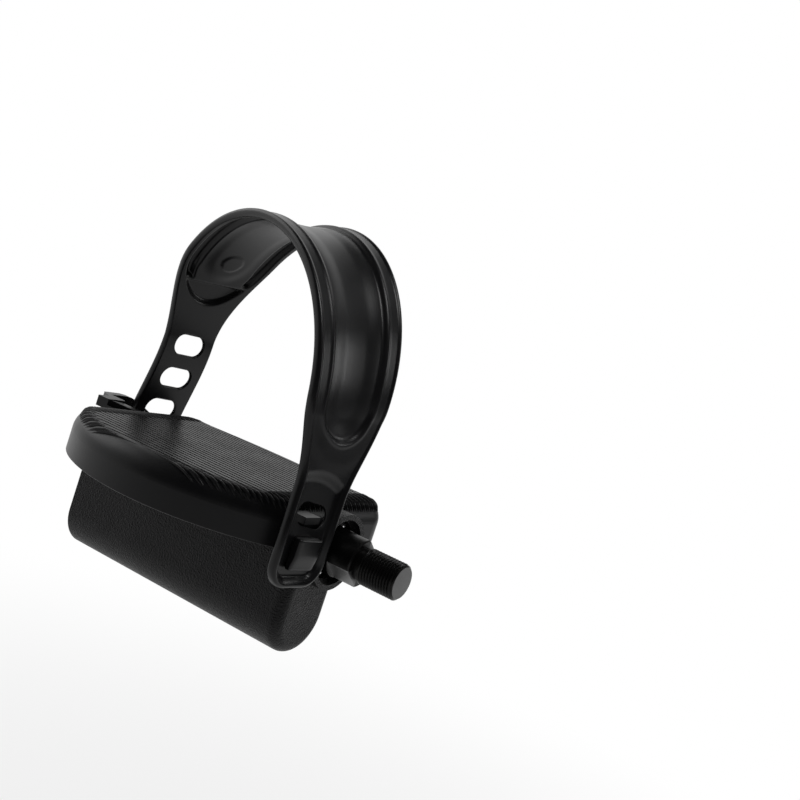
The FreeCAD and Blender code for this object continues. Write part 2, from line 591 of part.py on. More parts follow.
def build_lock_washer():
    """Flat washer between the cone and the nut."""
    body = new_body("lock_washer")
    sketch = new_sketch(body, "YZ_Plane", washer_end)
    draw_circle(sketch, 0, 0, mm.washer_radius)
    draw_circle(sketch, 0, 0, mm.tail_radius + mm.thread_gap)
    pad(body, sketch, mm.washer_thickness)
    return body


def build_lock_nut():
    """Hexagon nut on the spindle's tail."""
    body = new_body("lock_nut")
    corner = mm.nut_flats / math.sqrt(3)
    sketch = new_sketch(body, "YZ_Plane", nut_end)
    draw_polygon(sketch, [(corner * math.cos(math.radians(angle)), corner * math.sin(math.radians(angle)))
                          for angle in range(30, 390, 60)])
    draw_circle(sketch, 0, 0, mm.tail_radius + mm.thread_gap)
    pad(body, sketch, mm.nut_height)
    return body


def grouped(label, members):
    """Several like solids as one sub-part."""
    group = doc.addObject("Part::Compound", label)
    group.Label = label
    group.Links = members
    doc.recompute()
    return group


def build_balls(label, place, pitch, ball, count):
    """Ring of loose bearing balls."""
    members = []
    for index in range(int(count.value)):
        angle = 2 * math.pi * index / count.value
        member = doc.addObject("Part::Sphere", f"{label}_one")
        member.setExpression("Radius", (ball / 2).text)
        member.setExpression("Placement.Base.x", place.text)
        member.setExpression("Placement.Base.y", (pitch * math.cos(angle)).text)
        member.setExpression("Placement.Base.z", (pitch * math.sin(angle)).text)
        members.append(member)
    return grouped(label, members)


def build_screws():
    """Four pan-head screws, driven up through the base plate."""
    base_bottom = mm.skirt_bottom + mm.base_recess
    members = []
    for x in (-screw_x, screw_x):
        for y in (mm.screw_front, mm.screw_back):
            pieces = []
            for radius, low, length in ((mm.head_radius, base_bottom - mm.head_height, mm.head_height),
                                        (mm.screw_radius, base_bottom, mm.screw_length)):
                rod = doc.addObject("Part::Cylinder", "screw_rod")
                rod.setExpression("Radius", radius.text)
                rod.setExpression("Height", length.text)
                rod.setExpression("Placement.Base.x", (x - plate_offset).text)
                rod.setExpression("Placement.Base.y", y.text)
                rod.setExpression("Placement.Base.z", low.text)
                pieces.append(rod)
            screw = doc.addObject("Part::Fuse", "screw")
            screw.Base, screw.Tool = pieces
            members.append(screw)
    return grouped("housing_screws", members)


# strap
def strap_leg(z, outer):
    """Middle of a leg at height z, and half the strap's width there."""
    up_leg = eased(mm.skirt_bottom.value, mm.strap_shoulder.value, z)
    if outer:
        return FreeCAD.Vector(strap_outer_x.value + mm.outer_lean.value * up_leg, mm.strap_outer_y.value, z), \
            mm.outer_half.value
    middle = FreeCAD.Vector(strap_inner_x.value - mm.inner_lean.value * up_leg,
                            mm.strap_inner_y.value + mm.inner_sway.value * up_leg, z)
    widened = eased(mm.pad_low.value, mm.pad_high.value, z)
    return middle, mm.inner_half.value + (mm.pad_half.value - mm.inner_half.value) * widened


def strap_path():
    """Stations along the strap, from the outer tail over the top to the inner tail.

    Each is (middle, half width, turn of the width about Z, roll of the width out of level), angles in degrees.
    """
    shoulder, top = mm.strap_shoulder.value, mm.strap_top.value
    leg_turn, outer_roll = mm.leg_turn.value, mm.outer_roll.value
    start, outer_half = strap_leg(shoulder, True)
    end, _ = strap_leg(shoulder, False)
    stations = []
    tail = mm.outer_tail.value
    levels = [(tail + up, share) for up, share in TAIL_ROUNDING]
    levels += [(tail + (shoulder - tail) * step / 8, 1.0) for step in range(1, 8)]
    for z, share in levels:
        middle, half = strap_leg(z, True)
        stations.append((middle, half * share, leg_turn, outer_roll))
    for degrees in range(0, 181, 15):
        angle = math.radians(degrees)
        across = (1 - math.cos(angle)) / 2
        middle = start + (end - start) * across
        middle.z = shoulder + (top - shoulder) * math.sin(angle)
        if degrees < 90:
            half = outer_half + (mm.pad_half.value - outer_half) * eased(0.0, PAD_SWELL, degrees)
        else:
            half = strap_leg(middle.z, False)[1]
        turned = leg_turn + (mm.top_turn.value - leg_turn) * math.sin(angle)
        rolled = outer_roll * (1 - across) + (mm.top_roll.value - outer_roll / 2) * math.sin(angle) ** 2
        stations.append((middle, half, turned, rolled))
    tail = mm.inner_tail.value
    levels = [(tail + (shoulder - tail) * step / 7, 1.0) for step in range(6, 0, -1)]
    levels += [(tail + up, share) for up, share in reversed(TAIL_ROUNDING)]
    for z, share in levels:
        middle, half = strap_leg(z, False)
        stations.append((middle, half * share, leg_turn, 0.0))
    return stations


def strap_axes(before, after, turned, rolled):
    """Unit vectors along the strap, across it, and out of its outer face."""
    along = (after - before).normalize()
    level = math.cos(math.radians(rolled))
    across = FreeCAD.Vector(math.sin(math.radians(turned)) * level, math.cos(math.radians(turned)) * level,
                            math.sin(math.radians(rolled)))
    across = (across - along * across.dot(along)).normalize()
    return along, across, along.cross(across)


def build_strap():
    """Moulded strap: a channel section with raised edges, lofted over the foot, with slots and lugs."""
    half_thick = mm.strap_thickness.value / 2
    lip_top = half_thick + mm.strap_lip.value
    lip = mm.strap_lip_width.value
    stations = strap_path()
    sections = []
    for index, (middle, half, turned, rolled) in enumerate(stations):
        before = stations[max(index - 1, 0)][0]
        after = stations[min(index + 1, len(stations) - 1)][0]
        _, across, out = strap_axes(before, after, turned, rolled)
        outline = [(-half, -half_thick), (half, -half_thick), (half, lip_top), (half - lip, lip_top),
                   (half - lip, half_thick), (lip - half, half_thick), (lip - half, lip_top), (-half, lip_top)]
        points = [middle + across * w + out * n for w, n in outline]
        sections.append(Part.makePolygon(points + points[:1]))
    shape = Part.makeLoft(sections, True, False)
    slot_levels = [(mm.outer_slot.value + mm.slot_pitch.value * step, True)
                   for step in range(-SLOTS_BELOW_HOOK, SLOTS_ABOVE_HOOK + 1)]
    slot_levels.append((mm.inner_slot.value, False))
    for z, outer in slot_levels:
        middle, across, out = strap_frame(z, outer)
        shape = shape.cut(slot_tool(middle, across, out))
    for z, outer in ((mm.outer_lug.value, True), (mm.inner_lug.value, False)):
        middle, across, out = strap_frame(z, outer)
        shape = shape.fuse(lug_tool(middle, across, out))
    feature = doc.addObject("Part::Feature", "strap")
    feature.Label = "strap"
    feature.Shape = shape.removeSplitter()
    feature.Placement = FreeCAD.Placement(FreeCAD.Vector(-plate_offset.value, 0, 0), FreeCAD.Rotation())
    return feature


def strap_frame(z, outer):
    """Middle of a leg at height z, with the ways across it and out of its outer face."""
    below, above = strap_leg(z - 1.0, outer)[0], strap_leg(z + 1.0, outer)[0]
    before, after = (below, above) if outer else (above, below)
    _, across, out = strap_axes(before, after, mm.leg_turn.value, mm.outer_roll.value if outer else 0.0)
    return strap_leg(z, outer)[0], across, out


def leg_matrix(middle, across, out):
    """Placement whose X runs across a leg and whose Z runs out of its outer face."""
    up = out.cross(across)
    matrix = FreeCAD.Matrix(across.x, up.x, out.x, middle.x, across.y, up.y, out.y, middle.y,
                            across.z, up.z, out.z, middle.z, 0, 0, 0, 1)
    return FreeCAD.Placement(matrix)


def slot_tool(middle, across, out):
    """Round-ended bar that cuts one slot through a leg."""
    radius = mm.slot_height.value / 2
    straight = mm.slot_length.value / 2 - radius
    depth = mm.strap_thickness.value * 4
    below = FreeCAD.Vector(0, 0, -depth / 2)
    tool = Part.makeBox(2 * straight, 2 * radius, depth, below + FreeCAD.Vector(-straight, -radius, 0))
    for side in (-1, 1):
        tool = tool.fuse(Part.makeCylinder(radius, depth, below + FreeCAD.Vector(side * straight, 0, 0)))
    tool = tool.removeSplitter()
    tool.Placement = leg_matrix(middle, across, out)
    return tool


def lug_tool(middle, across, out):
    """Block on a tail's outer face, to push the strap off its hook."""
    width, height = mm.lug_width.value, mm.lug_height.value
    depth = mm.strap_thickness.value / 2 + mm.lug_depth.value
    tool = Part.makeBox(width, height, depth, FreeCAD.Vector(-width / 2, -height / 2, 0))
    tool.Placement = leg_matrix(middle, across, out)
    return tool


parts = [
    build_footplate(), build_lower_housing(), build_counterweight(), build_end_cap(), build_spindle(),
    build_cup("inner_cup", mm.inner_ball_place, mm.inner_pitch_radius, mm.inner_ball, 1),
    build_cup("outer_cup", outer_ball_place, mm.outer_pitch_radius, mm.outer_ball, -1),
    build_balls("inner_balls", mm.inner_ball_place, mm.inner_pitch_radius, mm.inner_ball, mm.inner_ball_count),
    build_balls("outer_balls", outer_ball_place, mm.outer_pitch_radius, mm.outer_ball, mm.outer_ball_count),
    build_adjusting_cone(), build_lock_washer(), build_lock_nut(), build_screws(), build_strap(),
]
doc.recompute()
for item in doc.Objects:
    if "Invalid" in item.State or "Error" in item.State:
        raise ValueError(f"{item.Label} did not build: {item.State}")
for part in parts:
    if part.Shape.isNull() or not part.Shape.isValid():
        raise ValueError(f"{part.Label} has no valid shape")

os.makedirs("parts", exist_ok=True)
for part in parts:
    part.Shape.exportStep(f"parts/{part.Label}.step")
    box = part.Shape.BoundBox
    print(f"{part.Label}: {len(part.Shape.Solids)} solids, {part.Shape.Volume / 1000:.2f} cm3, "
          f"x {box.XMin:.1f}..{box.XMax:.1f}, y {box.YMin:.1f}..{box.YMax:.1f}, z {box.ZMin:.1f}..{box.ZMax:.1f}")
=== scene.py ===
"""Looks of the exercise bike pedal: moulded strap, ribs, threaded spindle, finishes, studio and camera.

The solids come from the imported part. The strap and the spindle are shown as surfaces worked out with numpy
from the same sizes, with the trough, panels, rounded edges and thread that the solids leave plain. Ribs, a
rounded lower edge and the flank of the strap loop's wing are added to the footplate. Work is in millimetres,
and meshes are in metres of the part's frame: +X along the crank thread, +Z up. The footplate's frame has its
origin at the middle of the plate.
"""

import json
import logging
import math
from dataclasses import dataclass
from enum import Enum

import bpy
import numpy as np
from mathutils import Matrix, Vector


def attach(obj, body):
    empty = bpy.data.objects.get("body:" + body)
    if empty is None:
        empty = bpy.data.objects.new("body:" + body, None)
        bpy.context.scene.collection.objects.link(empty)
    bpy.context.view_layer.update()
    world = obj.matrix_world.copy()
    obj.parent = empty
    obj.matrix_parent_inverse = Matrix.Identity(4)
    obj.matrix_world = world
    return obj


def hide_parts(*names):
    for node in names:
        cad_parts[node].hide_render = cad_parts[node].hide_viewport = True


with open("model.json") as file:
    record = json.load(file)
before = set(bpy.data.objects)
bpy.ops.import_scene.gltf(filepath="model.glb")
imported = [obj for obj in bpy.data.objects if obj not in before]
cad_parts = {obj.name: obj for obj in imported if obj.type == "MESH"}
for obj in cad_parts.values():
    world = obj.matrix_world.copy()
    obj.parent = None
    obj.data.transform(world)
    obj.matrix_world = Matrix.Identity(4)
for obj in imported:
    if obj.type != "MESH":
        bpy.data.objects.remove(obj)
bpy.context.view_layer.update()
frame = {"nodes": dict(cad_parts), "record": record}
LOG = logging.getLogger("pedal")
MM = 0.001
FULL_TURN = 2.0 * math.pi
PLATE_MIDDLE = np.array([-74.6, 0.0, 0.0])
FLOOR_Z = -0.22


def eased(low: float, high: float, at: np.ndarray) -> np.ndarray:
    """Smooth step from 0 at low to 1 at high, share * share * (3 - 2 * share)."""
    share = np.clip((at - low) / (high - low), 0.0, 1.0)
    return share * share * (3.0 - 2.0 * share)


def quarter_round(from_edge: np.ndarray, radius: float) -> np.ndarray:
    """Drop of a rounded edge: radius less the height of a quarter circle, 0 beyond the radius."""
    gap = 1.0 - np.clip(from_edge / radius, 0.0, 1.0)
    return radius * (1.0 - np.sqrt(np.clip(1.0 - gap * gap, 0.0, 1.0)))


def unit(rows: np.ndarray) -> np.ndarray:
    """Rows scaled to length 1."""
    return rows / np.linalg.norm(rows, axis=-1, keepdims=True)


def superellipse(points: int, power: float) -> tuple[np.ndarray, np.ndarray]:
    """Ring of a rounded square: cosine and sine, each with its size raised to a power below 1.

    Args:
        points: number of points in the ring.
        power: the power, where 1 gives a circle.

    Returns:
        Places across and up, each from -1 to 1.
    """
    angle = np.linspace(0.0, FULL_TURN, points, endpoint=False)
    across, up = (np.sign(wave) * np.abs(wave) ** power for wave in (np.cos(angle), np.sin(angle)))
    return across, up


def grid_faces(rows: int, columns: int) -> np.ndarray:
    """Quads of rings of points stored one after the other.

    Args:
        rows: number of rings.
        columns: number of points in a ring.

    Returns:
        Corner numbers, four to a quad.
    """
    across = np.arange(columns)
    here = np.arange(rows - 1)[:, None] * columns + across
    beside = np.arange(rows - 1)[:, None] * columns + (across + 1) % columns
    return np.stack([here, beside, beside + columns, here + columns], axis=-1).reshape(-1, 4)


def outward_mesh(name: str, points: np.ndarray, faces: list[list[int]]) -> bpy.types.Mesh:
    """Closed mesh with its faces turned outwards, judged by the sum of a . (b x c) over its triangles.

    Args:
        name: name of the mesh.
        points: its points, in millimetres of the part's frame.
        faces: corner numbers of its faces, which all turn the same way.

    Returns:
        The mesh, in metres.
    """
    mesh = bpy.data.meshes.new(name)
    mesh.from_pydata((points.reshape(-1, 3) * MM).tolist(), [], faces)
    mesh.update()
    mesh.calc_loop_triangles()
    corners = np.empty(len(mesh.loop_triangles) * 3, dtype=np.int32)
    mesh.loop_triangles.foreach_get("vertices", corners)
    places = np.empty(len(mesh.vertices) * 3)
    mesh.vertices.foreach_get("co", places)
    a, b, c = np.moveaxis(places.reshape(-1, 3)[corners.reshape(-1, 3)], 1, 0)
    if np.sum(a * np.cross(b, c)) < 0.0:
        mesh.flip_normals()
    return mesh


def tubes_mesh(name: str, tubes: np.ndarray) -> bpy.types.Mesh:
    """Closed mesh of one or more rings carried along paths, with a flat cap at both ends of each.

    Args:
        name: name of the mesh.
        tubes: array of tubes x rings x points x 3, in millimetres of the part's frame.

    Returns:
        The mesh, in metres, with its faces turned outwards.
    """
    count, rings, around = tubes.shape[:3]
    starts = np.arange(count)[:, None, None] * rings * around
    quads = (grid_faces(rings, around)[None] + starts).reshape(-1, 4)
    first = np.arange(around)[::-1] + starts[:, 0]
    last = np.arange((rings - 1) * around, rings * around) + starts[:, 0]
    return outward_mesh(name, tubes, quads.tolist() + first.tolist() + last.tolist())


def add_piece(mesh: bpy.types.Mesh, body: str, slot: str, sharp: float) -> bpy.types.Object:
    """Link a mesh as a smooth-shaded piece that rides on a body, in the finish of a material slot.

    Args:
        mesh: the finished mesh.
        body: name of the body that it moves with.
        slot: material slot whose finish it takes.
        sharp: angle in degrees above which an edge stays crisp.

    Returns:
        The new object.
    """
    mesh.polygons.foreach_set("use_smooth", np.ones(len(mesh.polygons), dtype=bool))
    mesh.set_sharp_from_angle(angle=math.radians(sharp))
    mesh.materials.clear()
    mesh.materials.append(bpy.data.materials[f"finish_{slot}"])
    piece = bpy.data.objects.new(mesh.name, mesh)
    bpy.context.scene.collection.objects.link(piece)
    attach(piece, body)
    LOG.info("%s: %d faces on %s", mesh.name, len(mesh.polygons), body)
    return piece


def add_node(tree: bpy.types.NodeTree, kind: str, values: dict | None = None,
             **settings: object) -> bpy.types.Node:
    """New shader node with some of its settings and inputs given.

    Args:
        tree: tree that takes the node.
        kind: type of the node.
        values: values of inputs, by name or number.
        settings: other settings, such as its operation.

    Returns:
        The node.
    """
    node = tree.nodes.new(kind)
    for name, setting in settings.items():
        setattr(node, name, setting)
    for name, value in (values or {}).items():
        node.inputs[name].default_value = value
    return node


class Grain(Enum):
    """Surface grains that the finishes choose from."""

    MOULDED = "moulded"
    LEATHERY = "leathery"
    TURNED = "turned"
    POLISHED = "polished"


@dataclass(frozen=True)
class Finish:
    """One finish: colour, gloss and grain of a material slot of the part's record.

    The colours are linear: rubbed patches lean to tint, and bare is for machined faces, where a piece marks
    them. The roughness wanders by spread. Scale is the number of grain cells in a metre, and depth is the
    bump's strength.
    """

    slot: str
    colour: tuple[float, float, float]
    tint: tuple[float, float, float]
    bare: tuple[float, float, float]
    roughness: float
    spread: float
    specular: float
    metallic: float
    grain: Grain
    scale: float
    depth: float


BLACK = (0.0032, 0.0032, 0.0036)
RUBBED = (0.0055, 0.0055, 0.006)
STEEL = (0.42, 0.42, 0.43)
FINISHES = (
    Finish("plate_plastic", colour=BLACK, tint=RUBBED, bare=BLACK, roughness=0.38, spread=0.08,
           specular=0.16, metallic=0.0, grain=Grain.MOULDED, scale=1500.0, depth=0.05),
    Finish("housing_plastic", colour=(0.0028, 0.0028, 0.0031), tint=(0.0045, 0.0045, 0.0048), bare=BLACK,
           roughness=0.42, spread=0.1, specular=0.16, metallic=0.0, grain=Grain.LEATHERY, scale=1800.0,
           depth=0.95),
    Finish("cap_plastic", colour=BLACK, tint=RUBBED, bare=BLACK, roughness=0.3, spread=0.08,
           specular=0.16, metallic=0.0, grain=Grain.MOULDED, scale=1500.0, depth=0.05),
    Finish("strap_plastic", colour=(0.0036, 0.0036, 0.004), tint=(0.006, 0.006, 0.0065), bare=BLACK,
           roughness=0.32, spread=0.05, specular=0.2, metallic=0.0, grain=Grain.MOULDED, scale=1200.0,
           depth=0.04),
    Finish("spindle_steel", colour=(0.005, 0.005, 0.005), tint=(0.012, 0.0117, 0.0114),
           bare=(0.17, 0.17, 0.17), roughness=0.34, spread=0.12, specular=0.3, metallic=0.8,
           grain=Grain.TURNED, scale=1100.0, depth=0.06),
    Finish("bearing_steel", colour=(0.1, 0.1, 0.103), tint=(0.06, 0.06, 0.06), bare=STEEL, roughness=0.3,
           spread=0.1, specular=0.3, metallic=1.0, grain=Grain.TURNED, scale=1200.0, depth=0.04),
    Finish("ball_steel", colour=(0.6, 0.6, 0.61), tint=(0.5, 0.5, 0.51), bare=STEEL, roughness=0.14,
           spread=0.05, specular=0.3, metallic=1.0, grain=Grain.POLISHED, scale=500.0, depth=0.01),
    Finish("screw_steel", colour=(0.45, 0.45, 0.46), tint=(0.35, 0.34, 0.32), bare=STEEL, roughness=0.32,
           spread=0.1, specular=0.3, metallic=1.0, grain=Grain.TURNED, scale=900.0, depth=0.03),
    Finish("weight_iron", colour=(0.12, 0.12, 0.125), tint=(0.16, 0.11, 0.08), bare=STEEL, roughness=0.6,
           spread=0.15, specular=0.3, metallic=0.9, grain=Grain.LEATHERY, scale=400.0, depth=0.3),
)

PATCH_SCALE = 45.0
BUMP_DISTANCE = 0.0004
LATHE_STRETCH = (1.0, 0.06, 0.06)
LEATHER_NOISE = 0.6
# The colour sockets of a Mix node share their names with its other sockets, so they go by number.
MIX_FIRST = 6
MIX_SECOND = 7
MIX_RESULT = 2


class FinishShop:
    """Builds the shared node groups and one material for each finish."""

    def __init__(self) -> None:
        """Make the groups that every material uses."""
        self.grain_groups = {grain: self._grain_group(grain) for grain in Grain}
        self.patch_group = self._patch_group()

    @staticmethod
    def _new_group(name: str, start: float, output: str) -> bpy.types.NodeTree:
        """Empty shader group with a Scale input and one value output.

        Args:
            name: name of the group.
            start: starting value of Scale.
            output: name of the output.

        Returns:
            The group with its input and output nodes in place.
        """
        group = bpy.data.node_groups.new(name, "ShaderNodeTree")
        socket = group.interface.new_socket("Scale", in_out="INPUT", socket_type="NodeSocketFloat")
        socket.default_value = start
        group.interface.new_socket(output, in_out="OUTPUT", socket_type="NodeSocketFloat")
        group.nodes.new("NodeGroupInput")
        group.nodes.new("NodeGroupOutput")
        return group

    def _grain_group(self, grain: Grain) -> bpy.types.NodeTree:
        """Height of one grain over Object coordinates.

        Moulded and polished grains are fine noise, the leathery one is noise on cells, and the turned one
        is noise drawn out round the spindle.

        Args:
            grain: which grain to make.

        Returns:
            The group, with Scale in and Height out.
        """
        group = self._new_group(f"grain_{grain.value}", 1000.0, "Height")
        links = group.links
        scale = group.nodes["Group Input"].outputs["Scale"]
        place = add_node(group, "ShaderNodeTexCoord").outputs["Object"]
        noise = add_node(group, "ShaderNodeTexNoise", {"Detail": 3.0})
        height = noise.outputs["Fac"]
        links.new(scale, noise.inputs["Scale"])
        if grain is Grain.TURNED:
            stretch = add_node(group, "ShaderNodeMapping", {"Scale": LATHE_STRETCH})
            links.new(place, stretch.inputs["Vector"])
            links.new(stretch.outputs["Vector"], noise.inputs["Vector"])
        else:
            links.new(place, noise.inputs["Vector"])
        if grain is Grain.LEATHERY:
            cells = add_node(group, "ShaderNodeTexVoronoi", feature="SMOOTH_F1")
            both = add_node(group, "ShaderNodeMath", {1: LEATHER_NOISE}, operation="MULTIPLY_ADD")
            links.new(place, cells.inputs["Vector"])
            links.new(scale, cells.inputs["Scale"])
            links.new(height, both.inputs[0])
            links.new(cells.outputs["Distance"], both.inputs[2])
            height = both.outputs[0]
        links.new(height, group.nodes["Group Output"].inputs["Height"])
        return group

    def _patch_group(self) -> bpy.types.NodeTree:
        """Soft patches, a few centimetres across, that vary the tint and the gloss.

        Returns:
            The group, with Scale in and Mask out.
        """
        group = self._new_group("gloss_patches", 60.0, "Mask")
        links = group.links
        coords = add_node(group, "ShaderNodeTexCoord")
        noise = add_node(group, "ShaderNodeTexNoise", {"Detail": 5.0, "Roughness": 0.6})
        spread = add_node(group, "ShaderNodeMapRange", {"From Min": 0.35, "From Max": 0.68})
        links.new(coords.outputs["Object"], noise.inputs["Vector"])
        links.new(group.nodes["Group Input"].outputs["Scale"], noise.inputs["Scale"])
        links.new(noise.outputs["Fac"], spread.inputs["Value"])
        links.new(spread.outputs["Result"], group.nodes["Group Output"].inputs["Mask"])
        return group

    def make(self, finish: Finish) -> bpy.types.Material:
        """Material of a finish: patches mix its colours and gloss, and its grain drives a bump.

        Args:
            finish: the finish to make.

        Returns:
            The material.
        """
        material = bpy.data.materials.new(f"finish_{finish.slot}")
        material.use_nodes = True
        tree, half_spread = material.node_tree, finish.spread / 2
        links, shader = tree.links, tree.nodes["Principled BSDF"]
        shader.inputs["Metallic"].default_value = finish.metallic
        shader.inputs["Specular IOR Level"].default_value = finish.specular
        patches = add_node(tree, "ShaderNodeGroup", {"Scale": PATCH_SCALE}, node_tree=self.patch_group)
        ends = {MIX_FIRST: (*finish.colour, 1.0), MIX_SECOND: (*finish.tint, 1.0)}
        colours = add_node(tree, "ShaderNodeMix", ends, data_type="RGBA")
        machined = add_node(tree, "ShaderNodeMix", {MIX_SECOND: (*finish.bare, 1.0)}, data_type="RGBA")
        marked = add_node(tree, "ShaderNodeAttribute", attribute_name="bare_metal")
        gloss = add_node(tree, "ShaderNodeMapRange", {"To Min": finish.roughness - half_spread,
                                                      "To Max": finish.roughness + half_spread})
        grain = add_node(tree, "ShaderNodeGroup", {"Scale": finish.scale},
                         node_tree=self.grain_groups[finish.grain])
        bump = add_node(tree, "ShaderNodeBump", {"Strength": finish.depth, "Distance": BUMP_DISTANCE})
        links.new(patches.outputs["Mask"], colours.inputs[0])
        links.new(patches.outputs["Mask"], gloss.inputs["Value"])
        links.new(marked.outputs["Fac"], machined.inputs[0])
        links.new(colours.outputs[MIX_RESULT], machined.inputs[MIX_FIRST])
        links.new(machined.outputs[MIX_RESULT], shader.inputs["Base Color"])
        links.new(gloss.outputs["Result"], shader.inputs["Roughness"])
        links.new(grain.outputs["Height"], bump.inputs["Height"])
        links.new(bump.outputs["Normal"], shader.inputs["Normal"])
        return material


@dataclass
class Strap:
    """Moulded strap over the foot, in the footplate's frame.

    It runs from the outer tail up the outer leg, over half an ellipse and down the inner leg. The place along
    it, called run here, is measured from the middle of the top and is negative on the outer leg.
    """

    thickness: float = 2.6
    lip: float = 0.9
    lip_flat: float = 1.44
    lip_foot: float = 2.88
    outer_round: float = 1.3
    inner_round: float = 0.8
    top: float = 112.5
    shoulder: float = 51.0
    leg_foot: float = 0.3
    outer_x: float = -62.6
    inner_x: float = 62.2
    outer_y: float = 20.6
    inner_y: float = -28.4
    outer_tail: float = -46.0
    inner_tail: float = -11.5
    outer_half: float = 14.0
    pad_half: float = 22.0
    inner_half: float = 14.0
    outer_lean: float = 7.0
    inner_lean: float = 4.4
    inner_sway: float = 6.7
    leg_turn: float = 5.0
    top_turn: float = 17.0
    outer_roll: float = -4.0
    top_roll: float = 6.0
    pad_low: float = 23.0
    pad_high: float = 57.0
    pad_swell: float = 40.0
    slot_length: float = 16.5
    slot_height: float = 9.0
    slot_pitch: float = 15.2
    slot_steps: tuple[int, ...] = (-1, 0, 1, 2, 3)
    cut_depths: tuple[float, ...] = (-6.0, -1.3, -0.7, 0.3, 0.8, 6.0)
    cut_flares: tuple[float, ...] = (0.5, 0.5, 0.0, 0.0, 0.35, 0.5)
    cut_points: int = 48
    outer_slot: float = 2.4
    inner_slot: float = 15.0
    lug_depth: float = 2.6
    lug_low: float = 0.55
    lug_slope: tuple[float, float] = (-1.0, 0.05)
    lug_round: float = 0.8
    lug_power: float = 0.3
    lug_points: int = 64
    lug_rings: int = 40
    lug_crisp: float = 40.0
    outer_lug: tuple[float, float, float] = (-30.0, 16.5, 9.0)
    inner_lug: tuple[float, float, float] = (1.4, 13.0, 12.0)
    tail_round: float = 9.0
    tail_clear: float = 0.5
    tail_points: int = 18
    trough_half: float = 13.6
    outer_inset: float = 7.6
    inner_inset: float = 6.4
    trough_step: float = 0.9
    trough_wall: tuple[float, float] = (-1.2, 0.4)
    trough_bow: float = 0.9
    bow_reach: float = 9.0
    trough_outer_z: float = 78.0
    trough_inner_z: float = 42.0
    border: float = 0.4
    border_fade: tuple[float, float] = (6.0, 14.0)
    ridge: float = 0.28
    ridge_place: float = 1.1
    ridge_width: float = 0.7
    hollow_depth: float = 2.3
    hollow_inset: float = 2.2
    hollow_past: float = 11.5
    hollow_wall: float = 2.0
    hollow_start: tuple[float, float] = (0.2, 1.6)
    web_start: float = 0.4
    web_middle: float = 0.5
    web_wall: tuple[float, float] = (0.4, 1.6)
    web_foot: float = 1.2
    back_bulge: float = 0.8
    back_reach: float = 6.0
    panel_depth: float = 1.5
    panel_inset: float = 3.4
    panel_outer_top: float = 61.0
    panel_inner_top: float = 31.0
    panel_slope: float = 4.6
    panel_wall: float = 0.5
    panel_bow: float = 3.5
    boss: float = 0.35
    boss_radius: float = 5.0
    boss_wall: float = 0.5
    boss_place: float = 13.0
    rise_points: int = 240
    arch_points: int = 361
    fall_points: int = 160
    stations: int = 540
    columns: int = 80
    crisp: float = 60.0

    def leg(self, z: np.ndarray, outer: bool) -> tuple[np.ndarray, np.ndarray]:
        """Middle line of a leg: it leans in by an eased step of its height.

        Args:
            z: heights.
            outer: True for the leg away from the crank.

        Returns:
            Points on the middle line, and half the width at each.
        """
        climb = eased(self.leg_foot, self.shoulder, z)
        if outer:
            x = self.outer_x + self.outer_lean * climb
            y = np.full_like(z, self.outer_y)
            half = np.full_like(z, self.outer_half)
        else:
            x = self.inner_x - self.inner_lean * climb
            y = self.inner_y + self.inner_sway * climb
            swell = eased(self.pad_low, self.pad_high, z)
            half = self.inner_half + (self.pad_half - self.inner_half) * swell
        return np.stack([x, y, z], axis=-1), half

    def lay_path(self) -> None:
        """Keep the stations at even steps of length: middles, half widths, run, and ways across and out.

        The legs are joined by half an ellipse, start + (end - start) * (1 - cos angle) / 2, at the height
        shoulder + (top - shoulder) * sin angle. At the rounded tails the stations follow a quarter circle.
        """
        rise_z = np.linspace(self.outer_tail, self.shoulder, self.rise_points)[:-1]
        fall_z = np.linspace(self.shoulder, self.inner_tail, self.fall_points)[1:]
        degrees = np.linspace(0.0, 180.0, self.arch_points)
        angle = np.radians(degrees)
        share = (1.0 - np.cos(angle)) / 2.0
        rise, rise_half = self.leg(rise_z, True)
        fall, fall_half = self.leg(fall_z, False)
        start = self.leg(np.array([self.shoulder]), True)[0][0]
        end = self.leg(np.array([self.shoulder]), False)[0][0]
        arch = start + (end - start) * share[:, None]
        arch[:, 2] = self.shoulder + (self.top - self.shoulder) * np.sin(angle)
        swell = self.outer_half + (self.pad_half - self.outer_half) * eased(0.0, self.pad_swell, degrees)
        arch_half = np.where(degrees < 90.0, swell, self.leg(arch[:, 2], False)[1])
        turn = self.leg_turn + (self.top_turn - self.leg_turn) * np.sin(angle)
        top_roll = self.top_roll - self.outer_roll / 2.0
        roll = self.outer_roll * (1.0 - share) + top_roll * np.sin(angle) ** 2
        middle = np.concatenate([rise, arch, fall])
        half = np.concatenate([rise_half, arch_half, fall_half])
        turned = np.concatenate([
            np.full_like(rise_z, self.leg_turn), turn, np.full_like(fall_z, self.leg_turn)])
        rolled = np.concatenate([np.full_like(rise_z, self.outer_roll), roll, np.zeros_like(fall_z)])
        steps = np.linalg.norm(np.diff(middle, axis=0), axis=1)
        length = np.concatenate([[0.0], np.cumsum(steps)])
        ends = self.tail_round * (1.0 - np.cos(np.linspace(0.0, math.pi / 2.0, self.tail_points)))
        even = np.linspace(0.0, length[-1], self.stations)
        clear = self.tail_round + self.tail_clear
        between = even[(even > clear) & (even < length[-1] - clear)]
        even = np.unique(np.concatenate([between, ends, length[-1] - ends]))
        self.middle = np.stack([np.interp(even, length, middle[:, axis]) for axis in range(3)], axis=-1)
        turned = np.radians(np.interp(even, length, turned))
        rolled = np.radians(np.interp(even, length, rolled))
        along = unit(np.gradient(self.middle, even, axis=0))
        self.across = self.way_across(turned, rolled, along)
        self.out = np.cross(along, self.across)
        self.from_end = np.minimum(even, length[-1] - even)
